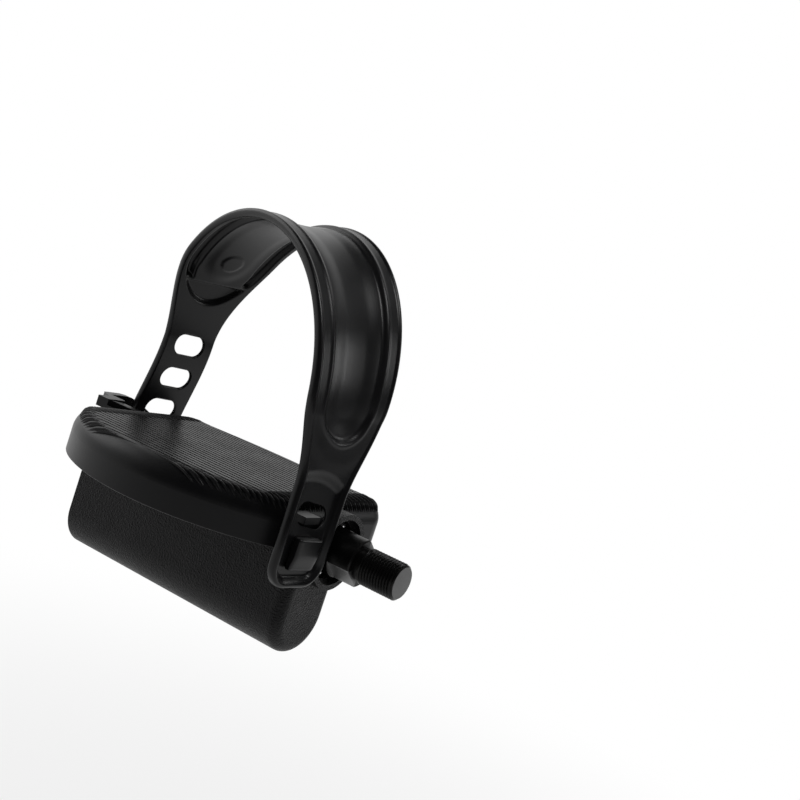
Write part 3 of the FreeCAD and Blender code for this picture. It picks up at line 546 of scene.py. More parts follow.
        self.full = np.interp(even, length, half)
        self.half = self.full - quarter_round(self.from_end, self.tail_round)
        self.run = even - even[np.argmax(self.middle[:, 2])]

    @staticmethod
    def way_across(turned: np.ndarray, rolled: np.ndarray, along: np.ndarray) -> np.ndarray:
        """Unit vectors across the strap: +Y turned about Z and rolled, less its part along the strap.

        Args:
            turned: angles about Z.
            rolled: angles up from level.
            along: unit vectors along the strap.

        Returns:
            The vectors, in the shape of along.
        """
        level = np.cos(rolled)
        across = np.stack([np.sin(turned) * level, np.cos(turned) * level, np.sin(rolled)], axis=-1)
        return unit(across - along * np.sum(across * along, axis=-1, keepdims=True))

    def run_at(self, z: float, outer: bool) -> float:
        """Place along the strap where one side of it passes a height, read between its stations.

        Args:
            z: the height.
            outer: True for the side away from the crank.

        Returns:
            The run there.
        """
        side = self.run < 0.0 if outer else self.run > 0.0
        order = np.argsort(self.middle[side, 2])
        return float(np.interp(z, self.middle[side, 2][order], self.run[side][order]))

    def trough_ends(self) -> tuple[float, float]:
        """Places along the strap of the trough's two round ends."""
        return self.run_at(self.trough_outer_z, True), self.run_at(self.trough_inner_z, False)

    def trough_width(self) -> np.ndarray:
        """Half the trough's width at each station: the lesser of its own and the strap's less a border."""
        inset = np.where(self.run < 0.0, self.outer_inset, self.inner_inset)
        return np.minimum(self.trough_half, self.half - inset)[:, None]

    def from_edge(self, w: np.ndarray) -> np.ndarray:
        """Distance in from the strap's edge: the least of side and end, or of the tails' corner circles.

        Args:
            w: places across the strap, a row for each station.

        Returns:
            Distances, in the shape of w.
        """
        side, end = self.full[:, None] - np.abs(w), self.from_end[:, None]
        rounded = self.tail_round - np.hypot(self.tail_round - side, self.tail_round - end)
        return np.where((side < self.tail_round) & (end < self.tail_round), rounded, np.minimum(side, end))

    @staticmethod
    def capsule(w: np.ndarray, run: np.ndarray, ends: tuple[float, float], radius: np.ndarray) -> np.ndarray:
        """Distance outside a long shape with round tips: hypot(w, run past the tips' centres) - radius."""
        past = np.maximum(np.maximum(ends[0] + radius - run, run - ends[1] + radius), 0.0)
        return np.hypot(w, past) - radius

    def outer_relief(self, w: np.ndarray) -> np.ndarray:
        """Height of the outer face above the plain sheet.

        Rounded lips follow both edges. A shallow trough with round ends runs over the top, inside a raised
        border. Each tail has a sunk panel whose head is a sloping facet under a bow. The height is the higher
        of lips and border, less the edge's rounding, the trough and the panel, with the trough's ridge added.

        Args:
            w: places across the strap, a row for each station.

        Returns:
            Heights, in the shape of w.
        """
        run, z = self.run[:, None], self.middle[:, 2:3]
        edge = self.from_edge(w)
        lips = self.lip * (1.0 - eased(self.lip_flat, self.lip_foot, edge))
        width = self.trough_width()
        outside = self.capsule(w, run, self.trough_ends(), width)
        raised = np.maximum(lips, self.border * (1.0 - eased(*self.border_fade, outside)))
        inside = 1.0 - eased(*self.trough_wall, outside)
        bow = np.clip(1.0 - (w / width) ** 2, 0.0, 1.0) * (1.0 - eased(-self.bow_reach, 0.0, outside))
        trough = (self.trough_step + self.border) * inside + self.trough_bow * bow
        ridge = self.ridge * np.exp(-((outside - self.ridge_place) / self.ridge_width) ** 2)
        sunk = eased(self.panel_inset - self.panel_wall, self.panel_inset + self.panel_wall, edge)
        head = np.where(run < 0.0, self.panel_outer_top, self.panel_inner_top)
        head = head - self.panel_bow * (w / self.full[:, None]) ** 2
        panel = self.panel_depth * sunk * (1.0 - eased(-self.panel_slope, 0.0, z - head))
        return raised - quarter_round(edge, self.outer_round) - trough + ridge - panel

    def inner_relief(self, w: np.ndarray) -> np.ndarray:
        """Depth of the inner face into the sheet.

        A hollow lies behind the raised border, on both sides of the trough's back and past a thin web at each
        of its ends. The trough's back bulges, and carries a plain round boss near the outer web. The depth is
        hollow - bulge - boss.

        Args:
            w: places across the strap, a row for each station.

        Returns:
            Depths, in the shape of w; negative where the face stands proud.
        """
        run, rim = self.run[:, None], self.half[:, None] - self.hollow_inset
        first, last = self.trough_ends()
        width = self.trough_width()
        outline = self.capsule(w, run, (first - self.hollow_past, last + self.hollow_past), rim)
        within = 1.0 - eased(-self.hollow_wall, 0.0, outline)
        beside = within * eased(*self.hollow_start, np.abs(w) - width)
        past = np.maximum(first - run, run - last) - self.web_start
        web = eased(*self.web_wall, np.abs(past + self.web_middle))
        hollow = self.hollow_depth * np.maximum(beside * web, within * eased(0.0, self.web_foot, past))
        back = 1.0 - eased(-self.back_reach, 0.0, self.capsule(w, run, (first, last), width))
        bulge = self.back_bulge * back * np.clip(1.0 - (w / width) ** 2, 0.0, 1.0)
        from_boss = np.hypot(w, run - first - self.boss_place)
        boss = self.boss * (1.0 - eased(self.boss_radius - self.boss_wall, self.boss_radius, from_boss))
        return hollow - bulge - boss

    def surface(self) -> np.ndarray:
        """Rings of the strap: outer face from edge to edge, then the inner face back, with rounded edges.

        Each point is middle + across * w + out * n, in the part's frame.

        Returns:
            Array of stations x points x 3.
        """
        even = np.linspace(-1.0, 1.0, self.columns)
        share = 0.5 * even + 0.5 * np.sin(even * math.pi / 2.0)
        w = self.half[:, None] * share[None, :]
        sheet = self.thickness / 2.0
        edge = self.from_edge(w)
        outer = sheet + self.outer_relief(w)
        inner = -sheet + self.inner_relief(w) + quarter_round(edge, self.inner_round)
        ring_w = np.concatenate([w, w[:, ::-1]], axis=1)[..., None]
        ring_n = np.concatenate([outer, inner[:, ::-1]], axis=1)[..., None]
        points = self.middle[:, None] + self.across[:, None] * ring_w + self.out[:, None] * ring_n
        return points + PLATE_MIDDLE

    def leg_frame(self, z: float, outer: bool) -> tuple[np.ndarray, np.ndarray, np.ndarray, np.ndarray]:
        """Middle of a leg at height z, with the unit vectors across, up and out of it.

        Args:
            z: the height.
            outer: True for the outer leg.

        Returns:
            The middle in the part's frame, and the three vectors.
        """
        around = self.leg(np.array([z - 1.0, z, z + 1.0]), outer)[0]
        along = unit(around[2] - around[0]) * (1.0 if outer else -1.0)
        turned, rolled = math.radians(self.leg_turn), math.radians(self.outer_roll if outer else 0.0)
        across = self.way_across(turned, rolled, along)
        out = np.cross(along, across)
        return around[1] + PLATE_MIDDLE, across, np.cross(out, across), out

    def slot_cutter(self, z: float, outer: bool) -> np.ndarray:
        """Rings of a bar with the slot's outline, flared a little at both faces of the strap.

        The outline is two half circles, moved apart to the slot's length.

        Args:
            z: height of the slot's middle.
            outer: True for the outer leg.

        Returns:
            Array of rings x points x 3.
        """
        middle, across, up, out = self.leg_frame(z, outer)
        depth = np.array(self.cut_depths)
        angle = np.linspace(0.0, FULL_TURN, self.cut_points, endpoint=False)
        radius = self.slot_height / 2.0 + np.array(self.cut_flares)[:, None]
        shift = (self.slot_length - self.slot_height) / 2.0 * np.where(np.cos(angle) >= 0.0, 1.0, -1.0)
        wide = (np.cos(angle) * radius + shift)[..., None]
        tall = (np.sin(angle) * radius)[..., None]
        return middle + across * wide + up * tall + out * depth[:, None, None]

    def lug(self, name: str, sizes: tuple[float, float, float], outer: bool) -> None:
        """Block on a tail: rounded rings across it, carried up the leg, with a sloping lower face.

        Each ring is a superellipse, and the rings shrink at both ends by a quarter circle.

        Args:
            name: name of the piece.
            sizes: height of its middle, its width and its own height.
            outer: True for the outer leg.
        """
        z, width, height = sizes
        middle, across, up, out = self.leg_frame(z, outer)
        ring_w, ring_n = superellipse(self.lug_points, self.lug_power)
        place = np.sin(np.linspace(-0.5, 0.5, self.lug_rings) * math.pi)
        shrink = quarter_round((1.0 - np.abs(place)) * height / 2.0, self.lug_round)[:, None]
        slope = self.lug_low + (1.0 - self.lug_low) * eased(*self.lug_slope, place)
        top = self.thickness / 2.0 + self.lug_depth * slope[:, None]
        wide = ring_w * (width / 2.0 - shrink)
        high = top / 2.0 + ring_n * (top / 2.0 - shrink)
        tall = np.broadcast_to((place * height / 2.0)[:, None], wide.shape)
        points = middle + across * wide[..., None] + up * tall[..., None] + out * high[..., None]
        add_piece(tubes_mesh(name, points[None]), "pedal", "strap_plastic", self.lug_crisp)

    def build(self) -> None:
        """Strap with its slots cut through, and a lug on each tail."""
        self.lay_path()
        work = bpy.data.objects.new("strap_work", tubes_mesh("strap_work", self.surface()[None]))
        levels = [(self.outer_slot + self.slot_pitch * step, True) for step in self.slot_steps]
        bars = np.stack([self.slot_cutter(z, outer) for z, outer in levels + [(self.inner_slot, False)]])
        cutter = bpy.data.objects.new("slot_cutter", tubes_mesh("slot_cutter", bars))
        for helper in (work, cutter):
            bpy.context.scene.collection.objects.link(helper)
        cut = work.modifiers.new("slots", "BOOLEAN")
        cut.operation = "DIFFERENCE"
        cut.solver = "EXACT"
        cut.object = cutter
        bpy.context.view_layer.update()
        with_slots = work.evaluated_get(bpy.context.evaluated_depsgraph_get())
        finished = bpy.data.meshes.new_from_object(with_slots)
        finished.name = "strap_moulding"
        for helper in (work, cutter):
            bpy.data.objects.remove(helper)
        strap = add_piece(finished, "pedal", "strap_plastic", self.crisp)
        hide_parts("strap")
        self.lug("strap_outer_lug", self.outer_lug, True)
        self.lug("strap_inner_lug", self.inner_lug, False)


@dataclass
class Tread:
    """Ribs over the footplate's rounded rim, its lower edge and the wing's flank, in the plate's frame."""

    half_length: float = 56.2
    front: float = 58.7
    back: float = 42.0
    front_radius: float = 70.0
    back_radius: float = 260.0
    corner: float = 11.0
    top: float = 17.6
    rim: float = 8.5
    pitch: float = 3.2
    groove: float = 1.5
    groove_front: float = -49.8
    groove_count: int = 26
    groove_reach: float = 44.0
    rise: float = 0.9
    run_out: float = 0.8
    fade: float = 2.4
    rise_start: float = 0.2
    end_rise: float = 0.5
    sunk: float = 0.12
    wide_sunk: float = 0.3
    narrow_sunk: float = 0.08
    wide_half: float = 0.8
    end_half: float = 0.55
    narrow_half: float = 0.42
    bar_power: float = 0.7
    bar_seat: float = 0.5
    bar_root: float = 0.9
    steepest: float = 0.98
    probe: float = 0.01
    reach_points: int = 400
    rib_rings: int = 110
    rib_points: int = 12
    rib_crisp: float = 50.0
    lower_edge: float = 0.3
    edge_radius: float = 0.8
    edge_inset: float = 0.03
    bow_points: int = 120
    bend_points: int = 16
    edge_points: int = 14
    edge_crisp: float = 60.0
    wing_tip: tuple[float, float, float] = (-61.5, -11.0, 17.2)
    wing_root: tuple[float, float, float] = (-49.0, -1.5, 15.2)
    wing_half: float = 3.2
    wing_rise: float = 2.2
    wing_power: float = 0.3
    wing_points: int = 32
    wing_rings: int = 12
    wing_crisp: float = 40.0

    def bow_centre(self, front: bool) -> float:
        """Place across the plate of the centre of its front or back bow."""
        return self.front_radius - self.front if front else self.back - self.back_radius

    def corner_centre(self, front: bool) -> np.ndarray:
        """Centre of the corner rounding on the +X side: radius - corner away from the bow's centre.

        Args:
            front: True for the front corner, False for the back one.

        Returns:
            Its x and y.
        """
        x = self.half_length - self.corner
        radius = self.front_radius if front else self.back_radius
        reach = math.sqrt((radius - self.corner) ** 2 - x * x)
        return np.array([x, self.bow_centre(front) + (-reach if front else reach)])

    def from_edge(self, x: np.ndarray, y: np.ndarray) -> np.ndarray:
        """Distance in from the plan's edge: the least of the ends and both bows, or of the corner circles.

        Args:
            x: places along the plate.
            y: places across it.

        Returns:
            Distances, negative outside.
        """
        x = np.abs(x)
        front = self.front_radius - np.hypot(x, y - self.bow_centre(True))
        back = self.back_radius - np.hypot(x, y - self.bow_centre(False))
        inset = np.minimum(np.minimum(front, back), self.half_length - x)
        for is_front in (True, False):
            centre = self.corner_centre(is_front)
            limit = math.atan2(abs(centre[1] - self.bow_centre(is_front)), centre[0])
            angle = np.arctan2((y - centre[1]) * (-1.0 if is_front else 1.0), x - centre[0])
            rounded = self.corner - np.hypot(x - centre[0], y - centre[1])
            inset = np.where((angle > 0.0) & (angle < limit), rounded, inset)
        return inset

    def outward(self, x: np.ndarray, y: np.ndarray) -> tuple[np.ndarray, np.ndarray]:
        """Way out to the plan's edge: the downhill slope of from_edge, by differences over twice the probe.

        Args:
            x: places along the plate.
            y: places across it.

        Returns:
            The two parts of the way, along and across.
        """
        step = self.probe
        along = (self.from_edge(x - step, y) - self.from_edge(x + step, y)) / (2.0 * step)
        across = (self.from_edge(x, y - step) - self.from_edge(x, y + step)) / (2.0 * step)
        return along, across

    def ribs(self) -> None:
        """Ribs as rounded bars along X that follow the rim down and fade out.

        Wide ribs carry on the solid's own ribs, inside which they lie on the flat top, and a narrow rib
        stands in each groove. Where the rim drops by d, a rib stands d - rise_start proud, up to the full
        rise, and it fades over the last part before the edge. A point's offset is laid along the rim's
        normal.
        """
        first = self.groove_front + self.groove / 2.0 - self.pitch
        count = np.arange(2 * self.groove_count + 2)
        y = (first + self.pitch / 2.0 * count)[:, None, None]
        narrow = (count % 2 == 0)[:, None, None]
        span = np.linspace(0.0, self.half_length, self.reach_points)[None, :, None]
        reach = np.max(np.where(self.from_edge(span, y) > self.run_out, span, 0.0), axis=1, keepdims=True)
        x = np.sin(np.linspace(-0.5, 0.5, self.rib_rings) * math.pi)[None, :, None] * reach
        angle = np.linspace(0.0, FULL_TURN, self.rib_points, endpoint=False)[None, None, :]
        inset = self.from_edge(x, y)
        fade = eased(self.run_out, self.run_out + self.fade, inset)
        proud = np.clip(quarter_round(inset, self.rim) - self.rise_start, 0.0, self.rise)
        past_groove = eased(self.groove_reach - 1.0, self.groove_reach + 1.0, np.abs(x))
        proud = np.maximum(proud, self.rise * self.end_rise * past_groove)
        flat = np.where(narrow, self.narrow_sunk, self.wide_sunk) * (1.0 - eased(0.0, self.sunk, proud))
        height = proud * fade - flat - self.sunk * (1.0 - fade)
        wide = np.where(np.abs(x) < self.groove_reach, self.wide_half, self.end_half)
        bar = np.where(narrow, self.narrow_half, wide) * (0.5 + 0.5 * fade)
        place_y = y + np.sign(np.cos(angle)) * np.abs(np.cos(angle)) ** self.bar_power * bar
        place_x = np.broadcast_to(x, place_y.shape)
        inset = self.from_edge(place_x, place_y)
        along, across = self.outward(place_x, place_y)
        lean = np.clip((self.rim - inset) / self.rim, 0.0, self.steepest)
        lift = np.sin(angle)
        offset = lift * np.where(lift > 0.0, height + self.bar_seat, self.bar_root) - self.bar_seat
        z = self.top - quarter_round(inset, self.rim) + np.sqrt(1.0 - lean * lean) * offset
        points = np.stack([place_x + along * lean * offset, place_y + across * lean * offset, z], axis=-1)
        mesh = tubes_mesh("tread_ribs", points + PLATE_MIDDLE)
        add_piece(mesh, "pedal", "plate_plastic", self.rib_crisp)

    def outline(self, inset: float) -> np.ndarray:
        """Closed plan of the plate: arcs about the centres of bows and corners, their radii less inset.

        Args:
            inset: how far in from the edge.

        Returns:
            Array of points x 2.
        """
        stretches = []
        for is_front, radius, sign in ((True, self.front_radius, -1.0), (False, self.back_radius, 1.0)):
            centre = self.corner_centre(is_front)
            bow_y = self.bow_centre(is_front)
            limit = math.atan2(centre[0], abs(centre[1] - bow_y))
            sweep = np.linspace(-limit, limit, self.bow_points) * -sign
            bow = np.stack([np.sin(sweep), sign * np.cos(sweep)], axis=-1) * (radius - inset)
            bow = bow + np.array([0.0, bow_y])
            bend = np.linspace(limit, math.pi / 2.0, self.bend_points)[1:]
            right = np.stack([np.sin(bend), sign * np.cos(bend)], axis=-1) * (self.corner - inset) + centre
            left = right * np.array([-1.0, 1.0])
            stretches += [left[::-1], bow, right] if is_front else [right[::-1], bow, left]
        return np.concatenate(stretches)

    def edge_bead(self) -> None:
        """Rounded lower edge of the skirt: a circle carried round the plan, closed on itself.

        At each angle the plan is drawn in by edge_inset + radius * (1 - cos angle).
        """
        angle = np.linspace(0.0, FULL_TURN, self.edge_points, endpoint=False)
        insets = self.edge_inset + self.edge_radius * (1.0 - np.cos(angle))
        rings = np.stack([self.outline(inset) for inset in insets], axis=1)
        z = self.lower_edge + self.edge_radius * (0.5 + np.sin(angle))
        points = np.concatenate([rings, np.broadcast_to(z[None, :, None], rings.shape[:2] + (1,))], axis=-1)
        quads = grid_faces(len(points) + 1, len(angle)) % (len(points) * len(angle))
        mesh = outward_mesh("skirt_edge", points + PLATE_MIDDLE, quads.tolist())
        add_piece(mesh, "pedal", "plate_plastic", self.edge_crisp)

    def wing(self) -> None:
        """Flank of the strap loop's wing: a rounded bar from its tip down into the tread's rim.

        Each ring is a superellipse across the straight line from tip to root.
        """
        tip, root = np.array(self.wing_tip), np.array(self.wing_root)
        along = unit((root - tip) * np.array([1.0, 1.0, 0.0]))
        across = np.array([-along[1], along[0], 0.0])
        ring_w, ring_n = superellipse(self.wing_points, self.wing_power)
        wide, tall = ring_w * self.wing_half, ring_n * self.wing_rise
        line = tip + (root - tip) * np.linspace(0.0, 1.0, self.wing_rings)[:, None]
        points = line[:, None] + across * wide[:, None] + np.array([0.0, 0.0, 1.0]) * tall[:, None]
        mesh = tubes_mesh("loop_wing", (points + PLATE_MIDDLE)[None])
        add_piece(mesh, "pedal", "plate_plastic", self.wing_crisp)

    def build(self) -> None:
        """All pieces of the footplate's dressing."""
        self.ribs()
        self.edge_bead()
        self.wing()


@dataclass
class Spindle:
    """Turned spindle with its fine crank thread, in the part's frame along +X."""

    thread_radius: float = 7.144
    thread_length: float = 15.5
    thread_pitch: float = 1.27
    thread_depth: float = 0.72
    thread_gain: float = 1.25
    thread_crest: float = 0.12
    thread_run_in: float = 1.2
    thread_start: float = 0.02
    thread_clear: float = 0.1
    thread_inset: float = 0.15
    thread_rings: int = 330
    chamfer: float = 1.0
    face_ring: float = 0.55
    neck_start: float = -0.4
    neck_radius: float = 6.2
    shoulder: float = -2.5
    collar_radius: float = 9.3
    edge: float = 0.5
    flats: float = 15.0
    flat_start: float = -12.3
    flat_turn: float = 38.0
    flat_step: float = 0.01
    ball_place: float = -19.5
    ball_pitch: float = 9.8
    ball: float = 3.969
    ball_gap: float = 0.05
    race_points: int = 16
    shaft_radius: float = 5.6
    shaft_end: float = -112.1
    tail_radius: float = 3.0
    tail_end: float = -127.7
    tail_chamfer: float = 0.6
    end_bare: float = 0.45
    pole: float = 0.01
    hair: float = 0.001
    around: int = 128
    crisp: float = 32.0

    def profile(self) -> tuple[np.ndarray, np.ndarray]:
        """Stations along the axis and the plain radius at each, from the thread's end to the tail's.

        The race is ball_pitch less the height of a circle a little wider than the ball.

        Returns:
            Places and radii.
        """
        race = self.ball_pitch - self.ball / 2.0
        track = self.ball / 2.0 + self.ball_gap
        reach = math.sqrt(track ** 2 - (self.ball_pitch - self.collar_radius) ** 2)
        arc = np.linspace(self.ball_place + reach, self.ball_place, self.race_points)
        arc_r = self.ball_pitch - np.sqrt(track ** 2 - (arc - self.ball_place) ** 2)
        end = self.thread_length
        thread = np.linspace(end - self.thread_inset, 0.0, self.thread_rings)
        start = self.thread_radius - self.chamfer
        thread_r = np.minimum(self.thread_radius, start + end - thread)
        head = np.array([(end, self.pole), (end, start * self.face_ring), (end, start)])
        collar = np.array([
            (self.neck_start, self.neck_radius), (self.shoulder, self.neck_radius),
            (self.shoulder - self.hair, self.collar_radius - self.edge),
            (self.shoulder - self.edge, self.collar_radius), (self.flat_start, self.collar_radius),
            (self.flat_start - self.flat_step, self.collar_radius)])
        rest = np.array([
            (self.ball_place - self.ball / 2.0, race), (self.ball_place - self.ball, self.shaft_radius),
            (self.shaft_end + self.ball, self.shaft_radius), (self.shaft_end, self.tail_radius),
            (self.tail_end + self.tail_chamfer, self.tail_radius),
            (self.tail_end, self.tail_radius - self.tail_chamfer), (self.tail_end, self.pole)])
        x = np.concatenate([head[:, 0], thread, collar[:, 0], arc, rest[:, 0]])
        r = np.concatenate([head[:, 1], thread_r, collar[:, 1], arc_r, rest[:, 1]])
        return x, r

    def surface(self) -> tuple[np.ndarray, np.ndarray]:
        """Rings round the axis, and where they are machined bare.

        The radius in the thread falls by depth * a triangle wave of x / pitch - angle / turn, and the
        collar's flats hold the distance along their normal to half the spanner size.

        Returns:
            Array of stations x points x 3, and a mask of stations x points.
        """
        x, r = self.profile()
        angle = np.linspace(0.0, FULL_TURN, self.around, endpoint=False)
        phase = x[:, None] / self.thread_pitch - angle[None, :] / FULL_TURN
        wave = np.abs(2.0 * (phase - np.floor(phase)) - 1.0)
        threaded = ((x > self.thread_start) & (x < self.thread_length - self.thread_clear))[:, None]
        groove = np.clip(wave * self.thread_gain - self.thread_crest, 0.0, 1.0)
        cut = groove * self.thread_depth * eased(0.0, self.thread_run_in, x)[:, None]
        radius = np.where(threaded, np.minimum(r[:, None], self.thread_radius - cut), r[:, None])
        side, rise = radius * np.cos(angle), radius * np.sin(angle)
        limit = self.flats / 2.0
        on_flat = ((x <= self.shoulder - self.hair / 2.0) & (x >= self.flat_start))[:, None]
        flattened = on_flat & (np.abs(rise) > limit)
        rise = np.where(flattened, np.clip(rise, -limit, limit), rise)
        turned = math.radians(self.flat_turn)
        y = side * math.cos(turned) + rise * math.sin(turned)
        z = rise * math.cos(turned) - side * math.sin(turned)
        points = np.stack([np.broadcast_to(x[:, None], y.shape), y, z], axis=-1)
        end_face = np.where(x >= self.thread_length - self.hair, self.end_bare, 0.0)[:, None]
        return points, np.maximum(np.where(flattened, 1.0, 0.0), end_face)

    def build(self) -> None:
        """Spindle that stands for the plain solid, with its machined faces marked."""
        points, bare = self.surface()
        mesh = tubes_mesh("spindle_threaded", points[None])
        mark = mesh.attributes.new("bare_metal", "FLOAT", "POINT")
        mark.data.foreach_set("value", bare.reshape(-1))
        piece = add_piece(mesh, "spindle", "spindle_steel", self.crisp)
        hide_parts("spindle")


@dataclass(frozen=True)
class Lamp:
    """Rectangular soft lamp: its place and size in metres, and its power in watts."""

    name: str
    place: tuple[float, float, float]
    size: tuple[float, float]
    power: float


@dataclass(frozen=True)
class Card:
    """Square dark card: its middle and the length of its side, in metres."""

    name: str
    place: tuple[float, float, float]
    side: float


LAMPS = (
    Lamp("left_softbox", (-1.0, -0.1, 0.55), (0.6, 0.6), 2.0),
    Lamp("top_softbox", (0.36, 0.08, 1.0), (0.36, 0.36), 5.0),
    Lamp("right_softbox", (0.6, 0.8, 0.4), (0.2, 0.4), 1.5),
)
CARDS = (
    Card("front_card", (0.2, -1.6, 0.3), 3.0),
    Card("right_card", (1.6, 0.0, 0.4), 3.4),
    Card("back_card", (1.0, 1.6, 0.3), 2.0),
    Card("top_card", (0.1, 0.0, 1.6), 3.0),
)


@dataclass
class Studio:
    """Pale floor, white surroundings, soft lamps, dark cards and the camera at the photo's viewing angle.

    The camera was fitted in pixels: right, down and forward are its ways, shift is the place of fit_origin
    seen from it, and fit_origin is in the part's frame.
    """

    focal_px: float = 1200.0
    image_px: float = 800.0
    sensor_mm: float = 36.0
    right: tuple[float, float, float] = (0.81, 0.4933, 0.3172)
    down: tuple[float, float, float] = (0.3199, 0.0816, -0.9439)
    forward: tuple[float, float, float] = (-0.4915, 0.866, -0.0917)
    shift: tuple[float, float, float] = (-71.28, 38.06, 478.87)
    fit_origin: tuple[float, float, float] = (-73.5, 0.0, 0.0)
    aim: tuple[float, float, float] = (-0.07, 0.0, 0.03)
    light_level: float = 0.45
    floor_half: float = 3.0
    floor_tone: float = 0.86
    floor_roughness: float = 0.9
    floor_fade: tuple[float, float] = (0.25, 0.7)
    floor_glow: float = 0.55
    card_tone: float = 0.02
    nearest: float = 0.01

    def camera(self) -> None:
        """Camera at fit_origin less its ways times shift, with the ways made square to each other."""
        left, _, right = np.linalg.svd(np.array([self.right, self.down, self.forward]))
        rows = left @ right
        place = np.array(self.fit_origin) - rows.T @ np.array(self.shift)
        data = bpy.data.cameras.new("photo_camera")
        data.sensor_fit = "HORIZONTAL"
        data.sensor_width = self.sensor_mm
        data.lens = self.sensor_mm * self.focal_px / self.image_px
        data.clip_start = self.nearest
        view = bpy.data.objects.new("photo_camera", data)
        turn = Matrix(np.stack([rows[0], -rows[1], -rows[2]], axis=1).tolist()).to_4x4()
        view.matrix_world = Matrix.Translation(Vector((place * MM).tolist())) @ turn
        bpy.context.scene.collection.objects.link(view)
        bpy.context.scene.camera = view

    def light(self, lamp: Lamp) -> None:
        """Set up a lamp, aimed at the middle of the pedal.

        Args:
            lamp: the lamp.
        """
        data = bpy.data.lights.new(lamp.name, "AREA")
        data.shape = "RECTANGLE"
        data.size, data.size_y = lamp.size
        data.energy = lamp.power
        light = bpy.data.objects.new(lamp.name, data)
        light.location = lamp.place
        way = Vector(self.aim) - light.location
        light.rotation_euler = way.to_track_quat("-Z", "Y").to_euler()
        bpy.context.scene.collection.objects.link(light)
        LOG.info("%s: %.1f W", lamp.name, lamp.power)

    def world(self) -> None:
        """World that is white to the camera and in reflections, and a soft grey as light."""
        world = bpy.data.worlds.new("studio")
        world.use_nodes = True
        tree = world.node_tree
        background = tree.nodes["Background"]
        background.inputs["Color"].default_value = (1.0, 1.0, 1.0, 1.0)
        strength = add_node(tree, "ShaderNodeMapRange", {"To Min": self.light_level, "To Max": 1.0})
        tree.links.new(self.shown(tree), strength.inputs["Value"])
        tree.links.new(strength.outputs["Result"], background.inputs["Strength"])
        bpy.context.scene.world = world

    @staticmethod
    def shown(tree: bpy.types.NodeTree) -> bpy.types.NodeSocket:
        """Mask that is 1 for camera, glossy and transmission rays: the greatest of the three.

        Args:
            tree: tree that takes the nodes.

        Returns:
            The mask's socket.
        """
        path = add_node(tree, "ShaderNodeLightPath")
        first = add_node(tree, "ShaderNodeMath", operation="MAXIMUM")
        second = add_node(tree, "ShaderNodeMath", operation="MAXIMUM")
        tree.links.new(path.outputs["Is Camera Ray"], first.inputs[0])
        tree.links.new(path.outputs["Is Glossy Ray"], first.inputs[1])
        tree.links.new(first.outputs[0], second.inputs[0])
        tree.links.new(path.outputs["Is Transmission Ray"], second.inputs[1])
        return second.outputs[0]

    @staticmethod
    def sheet(name: str, middle: np.ndarray, level: np.ndarray, steep: np.ndarray) -> bpy.types.Object:
        """Staged flat sheet with a new material: middle +- level +- steep, in metres.

        Args:
            name: name of the sheet and of its material.
            middle: its middle.
            level: half of one side.
            steep: half of the other.

        Returns:
            The sheet.
        """
        signs = np.array([(-1, -1), (1, -1), (1, 1), (-1, 1)])
        mesh = bpy.data.meshes.new(name)
        corners = middle + signs[:, :1] * level + signs[:, 1:] * steep
        mesh.from_pydata(corners.tolist(), [], [(0, 1, 2, 3)])
        mesh.update()
        mesh.materials.append(bpy.data.materials.new(name))
        mesh.materials[0].use_nodes = True
        sheet = bpy.data.objects.new(name, mesh)
        bpy.context.scene.collection.objects.link(sheet)
        return sheet

    def dark_card(self, card: Card) -> None:
        """Set up a card that faces the part's origin, so that black plastic keeps its depth.

        It shows in reflections alone.

        Args:
            card: the card.
        """
        way = unit(np.array(card.place))
        level = unit(np.cross(way, np.array([0.0, 0.0, 1.0])))
        half = card.side / 2.0
        board = self.sheet(card.name, np.array(card.place), level * half, np.cross(level, way) * half)
        board.visible_camera = False
        board.visible_diffuse = False
        board.visible_shadow = False
        shader = board.data.materials[0].node_tree.nodes["Principled BSDF"]
        shader.inputs["Base Color"].default_value = (self.card_tone, self.card_tone, self.card_tone, 1.0)
        shader.inputs["Roughness"].default_value = 1.0

    def floor(self) -> None:
        """Pale floor that takes the pedal's shadow near it and fades to plain white further off."""
        ways = np.eye(3) * self.floor_half
        floor = self.sheet("pale_floor", np.array([0.0, 0.0, FLOOR_Z]), ways[0], ways[1])
        tree = floor.data.materials[0].node_tree
        nodes, links = tree.nodes, tree.links
        shader = nodes["Principled BSDF"]
        shader.inputs["Base Color"].default_value = (self.floor_tone, self.floor_tone, self.floor_tone, 1.0)
        shader.inputs["Roughness"].default_value = self.floor_roughness
        glow = add_node(tree, "ShaderNodeEmission")
        coords = add_node(tree, "ShaderNodeTexCoord")
        distance = add_node(tree, "ShaderNodeVectorMath", operation="LENGTH")
        near, far = self.floor_fade
        range_ends = {"From Min": near, "From Max": far, "To Min": self.floor_glow}
        fade = add_node(tree, "ShaderNodeMapRange", range_ends, interpolation_type="SMOOTHSTEP")
        seen = add_node(tree, "ShaderNodeMath", operation="MULTIPLY")
        mix = add_node(tree, "ShaderNodeMixShader")
        links.new(coords.outputs["Object"], distance.inputs[0])
        links.new(distance.outputs["Value"], fade.inputs["Value"])
        links.new(fade.outputs["Result"], seen.inputs[0])
        links.new(self.shown(tree), seen.inputs[1])
        links.new(seen.outputs[0], mix.inputs[0])
        links.new(shader.outputs[0], mix.inputs[1])
        links.new(glow.outputs[0], mix.inputs[2])
        links.new(mix.outputs[0], nodes["Material Output"].inputs["Surface"])

    def build(self) -> None:
        """Set up the whole studio."""
        bpy.context.scene.view_settings.view_transform = "Standard"
        self.world()
        self.floor()
        for lamp in LAMPS:
            self.light(lamp)
        for card in CARDS:
            self.dark_card(card)
        self.camera()


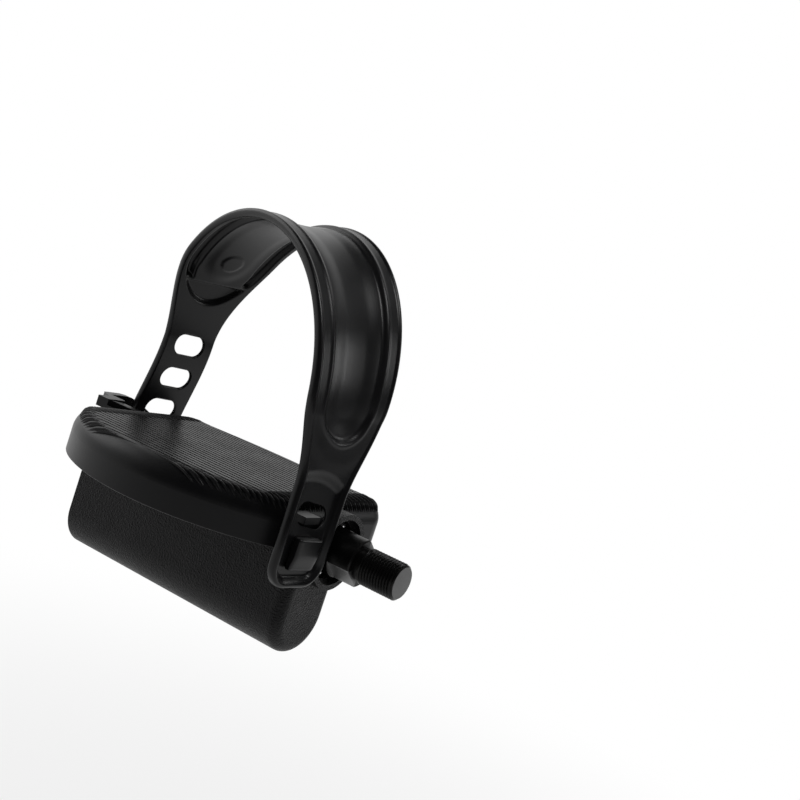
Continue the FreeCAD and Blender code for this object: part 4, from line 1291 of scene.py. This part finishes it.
def dress_solids(materials: dict[str, bpy.types.Material]) -> None:
    """Give each solid the material of its slot.

    Args:
        materials: material for each slot.
    """
    slots = {entry["node"]: entry["material_slot"] for entry in frame["record"]["subparts"]}
    for name, node in frame["nodes"].items():
        node.data.materials.clear()
        node.data.materials.append(materials[slots[name]])


def main() -> None:
    """Build the pieces, dress them, and set up the studio."""
    logging.basicConfig(level=logging.INFO, format="%(name)s %(message)s")
    shop = FinishShop()
    dress_solids({finish.slot: shop.make(finish) for finish in FINISHES})
    Strap().build()
    Tread().build()
    Spindle().build()
    Studio().build()


if __name__ == "__main__":
    main()
